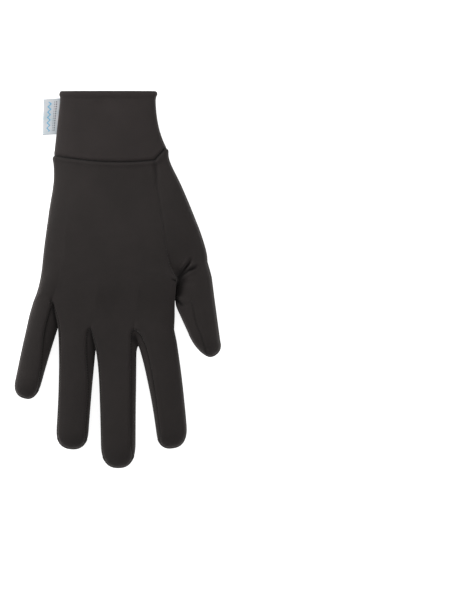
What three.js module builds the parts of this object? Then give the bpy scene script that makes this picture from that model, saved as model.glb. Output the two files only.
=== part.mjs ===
// A stretch-cloth glove liner for the right hand, lying flat with its back upwards and a little
// air in it. It is sewn from a back panel, a palm panel, a thumb piece, three narrow strips
// between the fingers, a folded cuff band and a small label. Every cloth piece is a thin wall,
// and together they enclose one hollow for the hand, open at the cuff.
// Millimetres. +X points to the thumb side, +Y out of the cuff, +Z up from the surface.
import * as THREE from "three";

// Lengths and widths
const PALM_LENGTH = 108; // wrist seam to the knuckle line, where the finger gaps start
const FINGER_LENGTH = 88.4; // knuckle line to the middle fingertip
const THUMB_LENGTH = 50; // top of the thumb gap to the thumb tip
const HAND_WIDTH = 87; // across the back at the pinky gap
const FINGER_WIDTH = 22; // middle finger, halfway
const THUMB_WIDTH = 24.5; // where the thumb leaves the hand
const CUFF_LENGTH = 44; // wrist seam to the folded edge
const CUFF_WIDTH = 61.6; // at the folded edge

// Heights above the surface that the glove lies on
const SEAM_HEIGHT = 4.8; // side seams
const WRIST_THICKNESS = 11;
const PALM_THICKNESS = 15;
const FINGER_THICKNESS = 11.5;
const THUMB_THICKNESS = 12;
const CUFF_THICKNESS = 9.5;
const TIP_THICKNESS = 3.2; // left between the panels at the very tip of a finger

// Cloth
const CLOTH = 1.2; // one layer
const CUFF_CLOTH = 2.2; // the cuff band is folded double
const SEAM_GAP = 0.3; // between sewn pieces
const THUMB_CLEARANCE = 1.2; // between the thumb and the hand's edge beside it
const HEM_FLARE = 0.8; // the folded edge stands out this much
const LABEL_REACH = 9.6; // out of the side seam
const LABEL_LENGTH = 23; // along the side seam
const LABEL_CLOTH = 0.8;
const LABEL_DROOP = 1.4; // its free edge hangs lower by this
const LABEL_SLANT = 0.6; // and lies nearer the wrist by this
const LABEL_FROM_HEM = 4.5;

// Forms
const FINGER_ROUNDNESS = 0.75; // power of the sine that gives a finger's dome
const PALM_ROUNDNESS = 0.55; // lower is flatter on top
const FLOOR_FLATTENING = 1.6; // how soon the underside reaches the surface
const SIDE_ANGLE = THREE.MathUtils.degToRad(15); // where a sheet's dome starts at a side seam
const GAP_ANGLE = THREE.MathUtils.degToRad(42); // and beside a strip between fingers
const SIDE_INSET = 0.9; // a sheet's edge lies this far inside the outline
const PALM_SLIT = 0.5; // share of a gap's slope by which the palm's slit ends behind the web
const TIP_ROUNDNESS = 2.25; // power of the rounded fingertip's outline
const TIP_FULLNESS = 0.8; // power by which a finger's height falls round its tip
const CROWN_FULL_FROM = 0.45; // share of the hand after which its dome is at its highest
const CROWN_FULL_UNTIL = 0.6; // and after which it falls to the fingers' height
const WRIST_CROWDING = 0.4; // how much closer the wrist's columns lie at the pinky's side
const KNUCKLE_BLEND = 0.28; // share of the hand over which its dome splits into the fingers'
const GAP_BLEND = 0.3; // share of the rows above the thumb gap that part hand from thumb
const GAP_KEPT = 0.1; // share of a strip's rows that keep the full angle beside it
const CUFF_HOLLOW = 2.6; // power of the curve from the hand down to the cuff's width
const CUFF_CENTRE_ACROSS = -0.07; // middle of the folded edge, a share of HAND_WIDTH
const FLARE_START = 0.85; // share of the cuff after which its edge stands out

// Mesh
const FINGER_COLUMNS = 5;
const THUMB_COLUMNS = 5;
const WRIST_ROWS = 8; // wrist seam to the top of the thumb gap
const KNUCKLE_ROWS = 5; // from there to the knuckle line
const SHAFT_ROWS = [0, 0.015, 0.05, 0.14, 0.32, 0.54, 0.78, 1]; // shares of a finger's straight part
const ROOT_BULGE = 5; // how far a digit's first row of points bulges towards the wrist
const ROOT_ROWS = 5; // rows over which that bulge goes
const TIP_ROWS = 5;
const STRIP_ENDS_AT = 9; // row of a finger where the strip beside it ends
const LEVELS = 2; // facets of a side, from the upper sheet to the lower one
const CUFF_ROWS = [0, 0.08, 0.17, 0.28, 0.45, 0.65, 0.85, 0.93, 1];
const FOLD_FACETS = 4; // of the cuff's folded edge
const SHARPEST_STRETCH = 1.6; // most that a wall is deepened at a sharp bend
const LABEL_ROWS = 6;
const LABEL_COLUMNS = 4;

// Outline of the hand. along is a share of PALM_LENGTH from the wrist seam towards the fingers,
// across a share of HAND_WIDTH from the middle finger's line towards the thumb.
const pinkySide = [
  { along: -0.024, across: -0.463 },
  { along: 0.12, across: -0.468 },
  { along: 0.29, across: -0.5 },
  { along: 0.5, across: -0.535 },
  { along: 0.68, across: -0.562 },
  { along: 0.77, across: -0.587 },
];
const thumbSide = [
  { along: -0.068, across: 0.36 },
  { along: 0, across: 0.375 },
  { along: 0.15, across: 0.459 },
  { along: 0.3, across: 0.538 },
  { along: 0.45, across: 0.61 },
  { along: 0.56, across: 0.648 },
];
const handEdge = [{ along: 0.9, across: 0.403 }];
// The seam between the back panel and the thumb piece, and its mate on the palm.
const thumbSeam = {
  upper: [
    { along: -0.006, across: 0.2715 },
    { along: 0.17, across: 0.2935 },
    { along: 0.41, across: 0.3375 },
    { along: 0.62, across: 0.381 },
  ],
  lower: [
    { along: -0.03, across: 0.25 },
    { along: 0.2, across: 0.28 },
    { along: 0.5, across: 0.345 },
    { along: 0.68, across: 0.39 },
  ],
};
const WRIST_SAG = { upper: 1.5, lower: 0.8 }; // the wrist seam's bow towards the fingers

// Gaps between the digits. The cloth between two fingers slopes from the end of the slit in the
// back panel down to its web, which stands out furthest halfway down, and back to the palm.
// before and after are the stretches, as shares of FINGER_WIDTH, over which the digits on either
// side curve away from the gap's end.
const gaps = [
  { across: -0.488, along: 0.834, webAcross: -0.431, webAlong: 0.99, before: 0.18, after: 0.68 },
  { across: -0.198, along: 0.997, webAcross: -0.156, webAlong: 1.12, before: 0.14, after: 0.55 },
  { across: 0.121, along: 1, webAcross: 0.154, webAlong: 1.11, before: 0.18, after: 0.18 },
  { across: 0.433, along: 0.704, webAcross: 0.407, webAlong: 0.83, before: 0, after: 0.09 },
];

// The digits. rootAcross and tipAcross are shares of HAND_WIDTH, rootBeyond and reach shares of
// FINGER_LENGTH past the knuckle line, and the widths shares of FINGER_WIDTH. bow, outerStart and
// the rounds are shares of the digit's own length, and the insets shares of its width. outerSide
// is the side, -1 or 1, on which the digit has no strip.
const digits = [
  {
    name: "pinky", rootAcross: -0.54, rootBeyond: -0.072, tipAcross: -0.682, reach: 0.497,
    rootWidth: 0.87, tipWidth: 0.73, bow: 0, leftRound: 0.2, rightRound: 0.3,
    leftInset: 0.04, rightInset: 0.27, outerSide: -1, outerStart: -0.17,
  },
  {
    name: "ring", rootAcross: -0.293, rootBeyond: 0.109, tipAcross: -0.34, reach: 0.862,
    rootWidth: 1.05, tipWidth: 0.93, bow: 0, leftRound: 0.19, rightRound: 0.19,
    leftInset: 0.05, rightInset: 0.22, outerSide: 0, outerStart: 0,
  },
  {
    name: "middle", rootAcross: -0.006, rootBeyond: 0.109, tipAcross: 0, reach: 1,
    rootWidth: 1.1, tipWidth: 0.98, bow: 0, leftRound: 0.19, rightRound: 0.19,
    leftInset: 0.05, rightInset: 0.13, outerSide: 0, outerStart: 0,
  },
  {
    name: "index", rootAcross: 0.288, rootBeyond: 0.109, tipAcross: 0.402, reach: 0.858,
    rootWidth: 1.05, tipWidth: 0.86, bow: 0.014, leftRound: 0.18, rightRound: 0.17,
    leftInset: 0.17, rightInset: 0.04, outerSide: 1, outerStart: -0.12,
  },
];
// The thumb, with its widths as shares of THUMB_WIDTH and rootAlong as a share of PALM_LENGTH.
const thumb = {
  rootAcross: 0.5276, rootAlong: 0.726, tipAcross: 0.667,
  rootWidth: 1.16, tipWidth: 0.62, bow: 0, leftRound: 0.48, rightRound: 0.2,
  leftInset: 0.04, rightInset: 0.04, outerSide: 1, outerStart: -0.2,
};

// Folds of the cloth at the thumb gap, from its top outwards over the thumb piece. depth is a
// share of THUMB_THICKNESS and width of THUMB_WIDTH.
const folds = [
  { fromAlong: 0.7, fromAcross: 0.455, toAlong: 0.565, toAcross: 0.545, depth: 0.17, width: 0.106 },
  { fromAlong: 0.68, fromAcross: 0.48, toAlong: 0.605, toAcross: 0.605, depth: 0.12, width: 0.09 },
];

const lerp = THREE.MathUtils.lerp;
const clamp01 = (t) => Math.min(1, Math.max(0, t));
const smooth = (t) => THREE.MathUtils.smoothstep(t, 0, 1);
const plan = (across, along) => new THREE.Vector2(across * HAND_WIDTH, -along * PALM_LENGTH);
const mix = (a, b, t) => a.clone().lerp(b, t);

// A smooth curve through plan points, read by share of its length or by row.
function curveThrough(points) {
  const spline = new THREE.CatmullRomCurve3(
    points.map((p) => new THREE.Vector3(p.x, p.y, 0)), false, "centripetal",
  );
  return (t) => {
    const p = spline.getPointAt(clamp01(t));
    const q = spline.getTangentAt(clamp01(t));
    return { point: new THREE.Vector2(p.x, p.y), tangent: new THREE.Vector2(q.x, q.y) };
  };
}

// How high a dome stands at share t of its width, from 0 to 1, when it starts and ends at the
// given angles of a half turn.
function dome(t, startAngle, endAngle, roundness) {
  const turned = Math.acos(1 - 2 * clamp01(t)) / Math.PI;
  return Math.sin(startAngle + turned * (Math.PI - startAngle - endAngle)) ** roundness;
}
const columnShare = (column, columns) => (1 - Math.cos((Math.PI * column) / columns)) / 2;

// A sheet's height above the surface: the upper one is a dome on the seams, the lower one
// reaches the surface soon after them. full runs down to 0 at a fingertip.
function sheetHeight(isUpper, rise, crown, full) {
  if (isUpper) return SEAM_HEIGHT + Math.max(crown * full, TIP_THICKNESS / 2) * rise;
  const drop = Math.max(SEAM_HEIGHT * FLOOR_FLATTENING * full, TIP_THICKNESS / 2) * rise;
  return Math.max(0, SEAM_HEIGHT - drop);
}

function foldDepth(p) {
  let depth = 0;
  for (const fold of folds) {
    const from = plan(fold.fromAcross, fold.fromAlong);
    const way = plan(fold.toAcross, fold.toAlong).sub(from);
    const share = clamp01(p.clone().sub(from).dot(way) / way.lengthSq());
    const away = p.distanceTo(from.clone().addScaledVector(way, share));
    const deepest = fold.depth * THUMB_THICKNESS * (1 - share * share);
    depth = Math.max(depth, deepest * Math.exp(-((away / (fold.width * THUMB_WIDTH)) ** 2)));
  }
  return depth;
}

// The whole outer surface: shared points, and faces that each belong to one cloth piece.
const points = [];
const faces = [];
const addPoint = (p, z) => points.push(new THREE.Vector3(p.x, p.y, z)) - 1;
function addFace(piece, corners) {
  const kept = corners.filter((c, n) => c !== corners[(n + 1) % corners.length]);
  if (new Set(kept).size > 2) faces.push({ piece, corners: kept });
}
// Joins two rows of point indices with faces that look up, or down where turned is true.
function addBand(pieceAt, near, far, turned) {
  for (let n = 0; n + 1 < near.length; n++) {
    const corners = [near[n], far[n], far[n + 1], near[n + 1]];
    addFace(pieceAt(n), turned ? corners.reverse() : corners);
  }
}

const SHEETS = [
  { name: "back_panel", isUpper: true, level: 0, seam: "upper" },
  { name: "palm_panel", isUpper: false, level: LEVELS, seam: "lower" },
];
const HAND_ROWS = WRIST_ROWS + KNUCKLE_ROWS;
const DIGIT_ROWS = SHAFT_ROWS.length - 1 + TIP_ROWS;
const HAND_COLUMNS = digits.length * FINGER_COLUMNS;
const levelShare = (level) => level / LEVELS;
const range = (count) => Array.from({ length: count }, (_, n) => n);

// An outline's inset at a level: none halfway down the side, and the given ones at the sheets.
function insetAt(level, upperInset, lowerInset) {
  const v = levelShare(level) * 2 - 1;
  return v < 0 ? upperInset * v * v : lowerInset * v * v;
}
// Height of the side at a level, between the two sheets' edges.
function sideHeight(level, rise, crown, full) {
  const upper = sheetHeight(true, rise, crown, full);
  const lower = sheetHeight(false, rise, crown, full);
  const v = levelShare(level);
  return v < 0.5 ? lerp(upper, SEAM_HEIGHT, v * 2) : lerp(SEAM_HEIGHT, lower, v * 2 - 1);
}

const sideRise = (roundness) => Math.sin(SIDE_ANGLE) ** roundness;
const gapRise = Math.sin(GAP_ANGLE) ** FINGER_ROUNDNESS;
const fingerCrown = FINGER_THICKNESS - SEAM_HEIGHT;
const thumbCrown = THUMB_THICKNESS - SEAM_HEIGHT;
const palmCrown = PALM_THICKNESS - SEAM_HEIGHT;
const wristCrown = WRIST_THICKNESS - SEAM_HEIGHT;

// Crown of the hand's dome from the wrist seam to the knuckle line.
function handCrown(t) {
  const rising = lerp(wristCrown, palmCrown, smooth(t / CROWN_FULL_FROM));
  return lerp(rising, fingerCrown, smooth((t - CROWN_FULL_UNTIL) / (1 - CROWN_FULL_UNTIL)));
}

// Each gap is a column of points that both neighbours share, one for each level.
const gapColumns = gaps.map((gap, n) => {
  const upper = plan(gap.across, gap.along);
  const web = plan(gap.webAcross, gap.webAlong);
  const crown = n === gaps.length - 1 ? handCrown(WRIST_ROWS / HAND_ROWS) : fingerCrown;
  return range(LEVELS + 1).map((level) => {
    const v = levelShare(level) * 2 - 1;
    const at = v < 0 ? mix(web, upper, -v) : web.clone();
    if (v > 0) at.y = lerp(web.y, upper.y, v * PALM_SLIT);
    return { at, index: addPoint(at, sideHeight(level, gapRise, crown, 1)) };
  });
});

// A digit's own frame: d runs from its root to its tip, side from its middle to the right.
function digitFrame(digit) {
  const isThumb = digit === thumb;
  const root = isThumb
    ? plan(digit.rootAcross, digit.rootAlong)
    : plan(digit.rootAcross, 1 + (digit.rootBeyond * FINGER_LENGTH) / PALM_LENGTH);
  const gapTop = gaps[gaps.length - 1].along * PALM_LENGTH;
  const tipDown = isThumb ? gapTop + THUMB_LENGTH : PALM_LENGTH + digit.reach * FINGER_LENGTH;
  const tip = new THREE.Vector2(digit.tipAcross * HAND_WIDTH, -tipDown);
  const ahead = tip.clone().sub(root);
  const length = ahead.length();
  ahead.normalize();
  const right = new THREE.Vector2(-ahead.y, ahead.x);
  const width = isThumb ? THUMB_WIDTH : FINGER_WIDTH;
  return {
    length, width,
    crown: isThumb ? thumbCrown : fingerCrown,
    halfWidth(d) {
      const narrowing = isThumb ? clamp01(d / length) : Math.sin((clamp01(d / length) * Math.PI) / 2);
      return (width * lerp(digit.rootWidth, digit.tipWidth, narrowing)) / 2;
    },
    toPlan(d, side) {
      const bowed = side + digit.bow * length * 4 * (d / length) * (1 - d / length);
      return root.clone().addScaledVector(ahead, d).addScaledVector(right, bowed);
    },
    toLocal(p) {
      const from = p.clone().sub(root);
      return { d: from.dot(ahead), side: from.dot(right) };
    },
  };
}

// How full a digit is at a row: 1 along its shaft, falling round its tip.
function fullness(row) {
  const turn = ((row - SHAFT_ROWS.length + 1) / TIP_ROWS) * (Math.PI / 2);
  return row < SHAFT_ROWS.length ? 1 : Math.cos(turn) ** TIP_FULLNESS;
}
// A strip between fingers narrows towards its end near the tip.
function edgeAngle(digit, side, row) {
  if (side === digit.outerSide) return SIDE_ANGLE;
  return lerp(GAP_ANGLE, SIDE_ANGLE, smooth(row / STRIP_ENDS_AT - GAP_KEPT) ** 2);
}

// Beside its gap the thumb lies against the hand's edge, with a little room between them.
function clearOfHand(p, level) {
  const edge = edgeBelowGap[level].map((row) => row.at);
  const below = edge.findIndex((q) => q.y < p.y);
  if (below < 1) return p;
  const share = (p.y - edge[below - 1].y) / (edge[below].y - edge[below - 1].y);
  const edgeX = lerp(edge[below - 1].x, edge[below].x, share);
  const room = THUMB_CLEARANCE * smooth((edge[0].y - p.y) / THUMB_CLEARANCE);
  return new THREE.Vector2(Math.max(p.x, edgeX + room), p.y);
}

// One edge of a digit at one level: its points from the root to the tip.
function digitEdge(digit, frame, side, level, start, arch) {
  const round = (side < 0 ? digit.leftRound : digit.rightRound) * frame.length;
  const seamInset = (side < 0 ? digit.leftInset : digit.rightInset) * frame.width;
  const shaftEnd = frame.length - round;
  const from = frame.toLocal(start);
  const found = [];
  for (let row = 0; row <= DIGIT_ROWS; row++) {
    const shaftShare = SHAFT_ROWS[Math.min(row, SHAFT_ROWS.length - 1)];
    const upperInset = lerp(seamInset, SIDE_INSET, smooth(shaftShare));
    const inset = insetAt(level, upperInset, SIDE_INSET);
    let d = lerp(from.d, shaftEnd, shaftShare);
    let reach = frame.halfWidth(d) - inset;
    if (row >= SHAFT_ROWS.length) {
      const turn = ((row - SHAFT_ROWS.length + 1) / TIP_ROWS) * (Math.PI / 2);
      const power = 2 / TIP_ROUNDNESS;
      d = shaftEnd + (round - inset) * Math.sin(turn) ** power;
      reach = row === DIGIT_ROWS ? 0 : reach * Math.cos(turn) ** power;
    }
    // Next to a gap the edge leaves the gap's top in a round arch.
    const near = arch ? clamp01((d - from.d) / arch) : 1;
    const pulled = 1 - Math.sqrt(1 - (1 - near) ** 2);
    const at = frame.toPlan(d, lerp(side * reach, from.side, arch ? pulled : 0));
    found.push(digit === thumb && side < 0 && row ? clearOfHand(at, level) : at);
  }
  return found;
}

// Points of a digit's two sides, left and right: index by side, level and row.
function digitSides(digit, frame, leftStart, rightStart) {
  const tipAt = range(LEVELS + 1).map(() => -1);
  return [-1, 1].map((side) => {
    const start = side < 0 ? leftStart : rightStart;
    return range(LEVELS + 1).map((level) => {
      const line = digitEdge(digit, frame, side, level, start[level].at, start.arch);
      return line.map((p, row) => {
        if (row === 0) return { at: start[level].at, index: start[level].index };
        if (row === DIGIT_ROWS && tipAt[level] >= 0) return { at: p, index: tipAt[level] };
        const angle = edgeAngle(digit, side, row);
        const rise = row === DIGIT_ROWS ? 1 : Math.sin(angle) ** FINGER_ROUNDNESS;
        const index = addPoint(p, sideHeight(level, rise, frame.crown, fullness(row)));
        if (row === DIGIT_ROWS) tipAt[level] = index;
        return { at: p, index };
      });
    });
  });
}

// An outline that bounds the hand: rows of points, one list for each level.
function outlineSide(table, end, outward, rows, crownAt, roundness) {
  const curve = curveThrough([...table.map((r) => plan(r.across, r.along)), end]);
  return range(LEVELS + 1).map((level) =>
    range(rows + 1).map((row) => {
      const { point, tangent } = curve(row / rows);
      const out = new THREE.Vector2(-tangent.y, tangent.x).multiplyScalar(outward);
      const at = point.addScaledVector(out, -insetAt(level, SIDE_INSET, SIDE_INSET));
      return { at, index: addPoint(at, sideHeight(level, sideRise(roundness), crownAt(row), 1)) };
    }),
  );
}

// Where a digit's outer edge starts, which is where the hand's outline ends.
function outerStart(digit, frame) {
  const d = digit.outerStart * frame.length;
  return frame.toPlan(d, digit.outerSide * frame.halfWidth(d));
}

const frames = digits.map(digitFrame);
const thumbFrame = digitFrame(thumb);
const rowCrown = (row) => handCrown(row / HAND_ROWS);

const pinkyOutline = outlineSide(
  pinkySide, outerStart(digits[0], frames[0]), -1, HAND_ROWS, rowCrown, PALM_ROUNDNESS,
);
const thumbOutline = outlineSide(
  thumbSide, outerStart(thumb, thumbFrame), 1, WRIST_ROWS, rowCrown, PALM_ROUNDNESS,
);

// The hand's edge from the thumb gap to the index finger, rounder away from the gap.
const indexFrame = frames[digits.length - 1];
const indexStart = outerStart(digits[digits.length - 1], indexFrame);
const edgeBelowGap = range(LEVELS + 1).map((level) => {
  const top = gapColumns[gaps.length - 1][level];
  const curve = curveThrough([top.at, ...handEdge.map((r) => plan(r.across, r.along)), indexStart]);
  return range(KNUCKLE_ROWS + 1).map((row) => {
    if (row === 0) return top;
    const share = row / KNUCKLE_ROWS;
    const { point, tangent } = curve(share);
    const out = new THREE.Vector2(-tangent.y, tangent.x);
    const at = point.addScaledVector(out, -insetAt(level, SIDE_INSET, SIDE_INSET) * share);
    const rise = lerp(gapRise, sideRise(FINGER_ROUNDNESS), smooth(share));
    return { at, index: addPoint(at, sideHeight(level, rise, rowCrown(WRIST_ROWS + row), 1)) };
  });
});

// Start of an edge: one place for each level, with the arch if it leaves a gap.
const startOf = (places, arch) => Object.assign([...places], { arch });
const lastOf = (outline) => outline.map((rows) => rows[rows.length - 1]);
const startBefore = (n) => startOf(gapColumns[n], gaps[n].before * FINGER_WIDTH);
const startAfter = (n) => startOf(gapColumns[n], gaps[n].after * FINGER_WIDTH);
const digitEdges = digits.map((digit, n) =>
  digitSides(
    digit, frames[n],
    n === 0 ? startOf(lastOf(pinkyOutline), 0) : startAfter(n - 1),
    n === digits.length - 1 ? startOf(lastOf(edgeBelowGap), 0) : startBefore(n),
  ),
);
const thumbEdges = digitSides(
  thumb, thumbFrame, startAfter(gaps.length - 1), startOf(lastOf(thumbOutline), 0),
);

// The rows of one digit's sheet, each from its left edge to its right edge.
function digitSheet(digit, frame, edges, sheet, columns) {
  return range(DIGIT_ROWS + 1).map((row) => {
    const left = edges[0][sheet.level][row];
    const right = edges[1][sheet.level][row];
    return range(columns + 1).map((column) => {
      if (column === 0 || row === DIGIT_ROWS) return left;
      if (column === columns) return right;
      const share = columnShare(column, columns);
      const back = ROOT_BULGE * Math.sin(Math.PI * share) * (1 - smooth(row / ROOT_ROWS));
      const at = mix(left.at, right.at, share).add(new THREE.Vector2(0, back));
      const rise = dome(
        share, edgeAngle(digit, -1, row), edgeAngle(digit, 1, row), FINGER_ROUNDNESS,
      );
      const z = sheetHeight(sheet.isUpper, rise, frame.crown, fullness(row));
      return { at, index: addPoint(at, z) };
    });
  });
}

// A point inside four boundary lines (a Coons patch).
function patchPoint(top, bottom, left, right, s, t, corners) {
  const [topLeft, topRight, bottomLeft, bottomRight] = corners;
  const between = mix(top, bottom, t);
  const leftOff = left.clone().sub(mix(topLeft, bottomLeft, t));
  const rightOff = right.clone().sub(mix(topRight, bottomRight, t));
  return between.addScaledVector(leftOff, 1 - s).addScaledVector(rightOff, s);
}

// One sheet of the whole glove: the hand, the thumb's base and the digits.
function buildSheet(sheet) {
  const { level, isUpper } = sheet;
  const knuckles = digits.map((digit, n) =>
    digitSheet(digit, frames[n], digitEdges[n], sheet, FINGER_COLUMNS));
  const thumbRows = digitSheet(thumb, thumbFrame, thumbEdges, sheet, THUMB_COLUMNS);
  const knuckleRow = knuckles.flatMap((rows, n) => (n ? rows[0].slice(1) : rows[0]));

  const gapTop = gapColumns[gaps.length - 1][level];
  const seamCurve = curveThrough([
    ...thumbSeam[sheet.seam].map((r) => plan(r.across, r.along)), gapTop.at,
  ]);
  const rightEdge = range(HAND_ROWS + 1).map((row) =>
    row < WRIST_ROWS ? seamCurve(row / WRIST_ROWS).point : edgeBelowGap[level][row - WRIST_ROWS].at);
  const leftEdge = pinkyOutline[level].map((p) => p.at);
  const outerEdge = thumbOutline[level].map((p) => p.at);

  const sagAt = (s) => WRIST_SAG[sheet.seam] * 4 * s * (1 - s);
  const wristShare = (column) => {
    const share = column / HAND_COLUMNS;
    return share * (1 - WRIST_CROWDING * (1 - share));
  };
  const wristAt = (s) => mix(leftEdge[0], rightEdge[0], s).add(new THREE.Vector2(0, -sagAt(s)));

  const riseAcross = (row, at) => {
    const outer = outerEdge[Math.min(row, WRIST_ROWS)];
    const share = (at.x - leftEdge[row].x) / (outer.x - leftEdge[row].x);
    return dome(share, SIDE_ANGLE, SIDE_ANGLE, PALM_ROUNDNESS);
  };
  const gapBlend = (row) => smooth((row / WRIST_ROWS - 1 + GAP_BLEND) / GAP_BLEND);

  const hand = range(HAND_ROWS + 1).map((row) =>
    range(HAND_COLUMNS + 1).map((column) => {
      const t = row / HAND_ROWS;
      if (row === HAND_ROWS) return knuckleRow[column];
      if (column === 0) return pinkyOutline[level][row];
      if (column === HAND_COLUMNS && row >= WRIST_ROWS) return edgeBelowGap[level][row - WRIST_ROWS];
      const s = lerp(wristShare(column), column / HAND_COLUMNS, t);
      const at = patchPoint(
        wristAt(wristShare(column)), knuckleRow[column].at, leftEdge[row], rightEdge[row], s, t,
        [leftEdge[0], rightEdge[0], leftEdge[HAND_ROWS], rightEdge[HAND_ROWS]],
      );
      const share = (at.x - leftEdge[row].x) / (rightEdge[row].x - leftEdge[row].x);
      const below = clamp01((row - WRIST_ROWS) / KNUCKLE_ROWS);
      const endAngle = lerp(GAP_ANGLE, SIDE_ANGLE, smooth(below));
      const ownRise = dome(share, SIDE_ANGLE, endAngle, PALM_ROUNDNESS);
      const wideRise = row <= WRIST_ROWS ? riseAcross(row, at) : ownRise;
      const handRise = lerp(wideRise, ownRise, gapBlend(row));
      const finger = Math.min(digits.length - 1, Math.floor(column / FINGER_COLUMNS));
      const fingerShare = columnShare(column - finger * FINGER_COLUMNS, FINGER_COLUMNS);
      const fingerRise = dome(
        fingerShare, edgeAngle(digits[finger], -1, 0), edgeAngle(digits[finger], 1, 0),
        FINGER_ROUNDNESS,
      );
      const rise = lerp(handRise, fingerRise, smooth((t - 1 + KNUCKLE_BLEND) / KNUCKLE_BLEND));
      const z = sheetHeight(isUpper, rise, handCrown(t), 1) - (isUpper ? foldDepth(at) : 0);
      return { at, index: addPoint(at, z) };
    }),
  );

  const thumbBase = range(WRIST_ROWS + 1).map((row) =>
    range(THUMB_COLUMNS + 1).map((column) => {
      if (column === 0) return hand[row][HAND_COLUMNS];
      if (row === WRIST_ROWS) return thumbRows[0][column];
      if (column === THUMB_COLUMNS) return thumbOutline[level][row];
      const t = row / WRIST_ROWS;
      const s = Math.sin((Math.PI / 2) * (column / THUMB_COLUMNS));
      const at = patchPoint(
        mix(rightEdge[0], outerEdge[0], s), thumbRows[0][column].at, rightEdge[row], outerEdge[row],
        s, t, [rightEdge[0], outerEdge[0], rightEdge[WRIST_ROWS], outerEdge[WRIST_ROWS]],
      );
      const share = (at.x - rightEdge[row].x) / (outerEdge[row].x - rightEdge[row].x);
      const ownRise = dome(share, GAP_ANGLE, SIDE_ANGLE, FINGER_ROUNDNESS);
      const rise = lerp(riseAcross(row, at), ownRise, gapBlend(row));
      const crown = lerp(rowCrown(row), thumbCrown, gapBlend(row));
      const z = sheetHeight(isUpper, rise, crown, 1) - (isUpper ? foldDepth(at) : 0);
      return { at, index: addPoint(at, z) };
    }),
  );

  const cover = (rows, piece) => {
    for (let row = 0; row + 1 < rows.length; row++) {
      const near = rows[row].map((p) => p.index);
      const far = rows[row + 1].map((p) => p.index);
      addBand(() => piece, near, far, !isUpper);
    }
  };
  cover(hand, sheet.name);
  knuckles.forEach((rows) => cover(rows, sheet.name));
  cover(thumbBase, "thumb_piece");
  cover(thumbRows, "thumb_piece");
  return { wrist: [...hand[0], ...thumbBase[0].slice(1)] };
}
const [upperSheet, lowerSheet] = SHEETS.map(buildSheet);

// The sides between the sheets. side is 1 where the cloth looks to the right.
function addSide(rowsByLevel, side, pieceAt) {
  for (let row = 0; row + 1 < rowsByLevel[0].length; row++) {
    const near = rowsByLevel.map((rows) => rows[row].index);
    const far = rowsByLevel.map((rows) => rows[row + 1].index);
    addBand((level) => pieceAt(row, level), near, far, side < 0);
  }
}
const seamedHalves = (row, level) => (level < LEVELS / 2 ? "back_panel" : "palm_panel");
const stripNames = digits.slice(1).map((digit, n) => `strip_${digits[n].name}_${digit.name}`);
const stripUntilTip = (name) => (row, level) =>
  row < STRIP_ENDS_AT ? name : seamedHalves(row, level);

addSide(pinkyOutline, -1, seamedHalves);
addSide(edgeBelowGap, 1, seamedHalves);
addSide(thumbOutline, 1, () => "thumb_piece");
addSide(thumbEdges[0], -1, () => "thumb_piece");
addSide(thumbEdges[1], 1, () => "thumb_piece");
digitEdges.forEach(([left, right], n) => {
  addSide(left, -1, n === 0 ? seamedHalves : stripUntilTip(stripNames[n - 1]));
  addSide(right, 1, n === digits.length - 1 ? seamedHalves : stripUntilTip(stripNames[n]));
});

// Outward direction of the whole surface at each point, longer where the cloth bends sharply, so
// that a wall keeps its thickness there.
function surfaceNormals(allPoints, allFaces) {
  const sums = allPoints.map(() => new THREE.Vector3());
  const turns = allPoints.map(() => 0);
  for (const { corners } of allFaces) {
    corners.forEach((c, n) => {
      const ahead = allPoints[corners[(n + 1) % corners.length]].clone().sub(allPoints[c]);
      const behind = allPoints[corners.at(n - 1)].clone().sub(allPoints[c]);
      const angle = ahead.angleTo(behind);
      sums[c].addScaledVector(ahead.cross(behind).normalize(), angle);
      turns[c] += angle;
    });
  }
  // At the end of a gap the cloth looks straight away from the wrist.
  gapColumns.flat().forEach(({ index }) => sums[index].setX(0));
  return sums.map((sum, n) => {
    const stretch = Math.min(SHARPEST_STRETCH, turns[n] / sum.length());
    return sum.normalize().multiplyScalar(stretch);
  });
}

// A closed wall: faces of one piece, drawn in by half a seam gap at its edges and made thick.
function clothWall(allPoints, normals, pieceFaces, thickness) {
  const edges = new Map();
  for (const { corners } of pieceFaces) {
    corners.forEach((a, n) => {
      const b = corners[(n + 1) % corners.length];
      edges.set(`${a},${b}`, [a, b]);
    });
  }
  const border = [...edges.values()].filter(([a, b]) => !edges.has(`${b},${a}`));
  const inward = new Map();
  for (const [a, b] of border) {
    const way = allPoints[b].clone().sub(allPoints[a]).normalize();
    for (const c of [a, b]) {
      const push = normals[c].clone().cross(way).normalize();
      inward.set(c, (inward.get(c) || []).concat(push));
    }
  }
  const outer = new Map();
  const positions = [];
  const place = (c) => {
    if (outer.has(c)) return outer.get(c);
    const p = allPoints[c].clone();
    const pushes = inward.get(c) || [];
    if (pushes.length) {
      const sum = pushes.reduce((total, v) => total.add(v), new THREE.Vector3());
      const cornerShare = Math.max(0.5, sum.length() / pushes.length);
      p.addScaledVector(sum.normalize(), SEAM_GAP / 2 / cornerShare);
      p.z = Math.max(0, p.z);
    }
    const q = p.clone().addScaledVector(normals[c], -thickness);
    outer.set(c, positions.length / 3);
    positions.push(p.x, p.y, p.z, q.x, q.y, q.z);
    return outer.get(c);
  };
  const triangles = [];
  for (const { corners } of pieceFaces) {
    const at = corners.map(place);
    for (let n = 1; n + 1 < at.length; n++) {
      triangles.push(at[0], at[n], at[n + 1], at[0] + 1, at[n + 1] + 1, at[n] + 1);
    }
  }
  // Both neighbours at a seam split its narrow faces along the same diagonal.
  for (const [a, b] of border) {
    const [p, q] = [place(a), place(b)];
    if (a < b) triangles.push(q, p, p + 1, q, p + 1, q + 1);
    else triangles.push(q, p, q + 1, p, p + 1, q + 1);
  }
  return toGeometry(positions, triangles);
}

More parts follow.
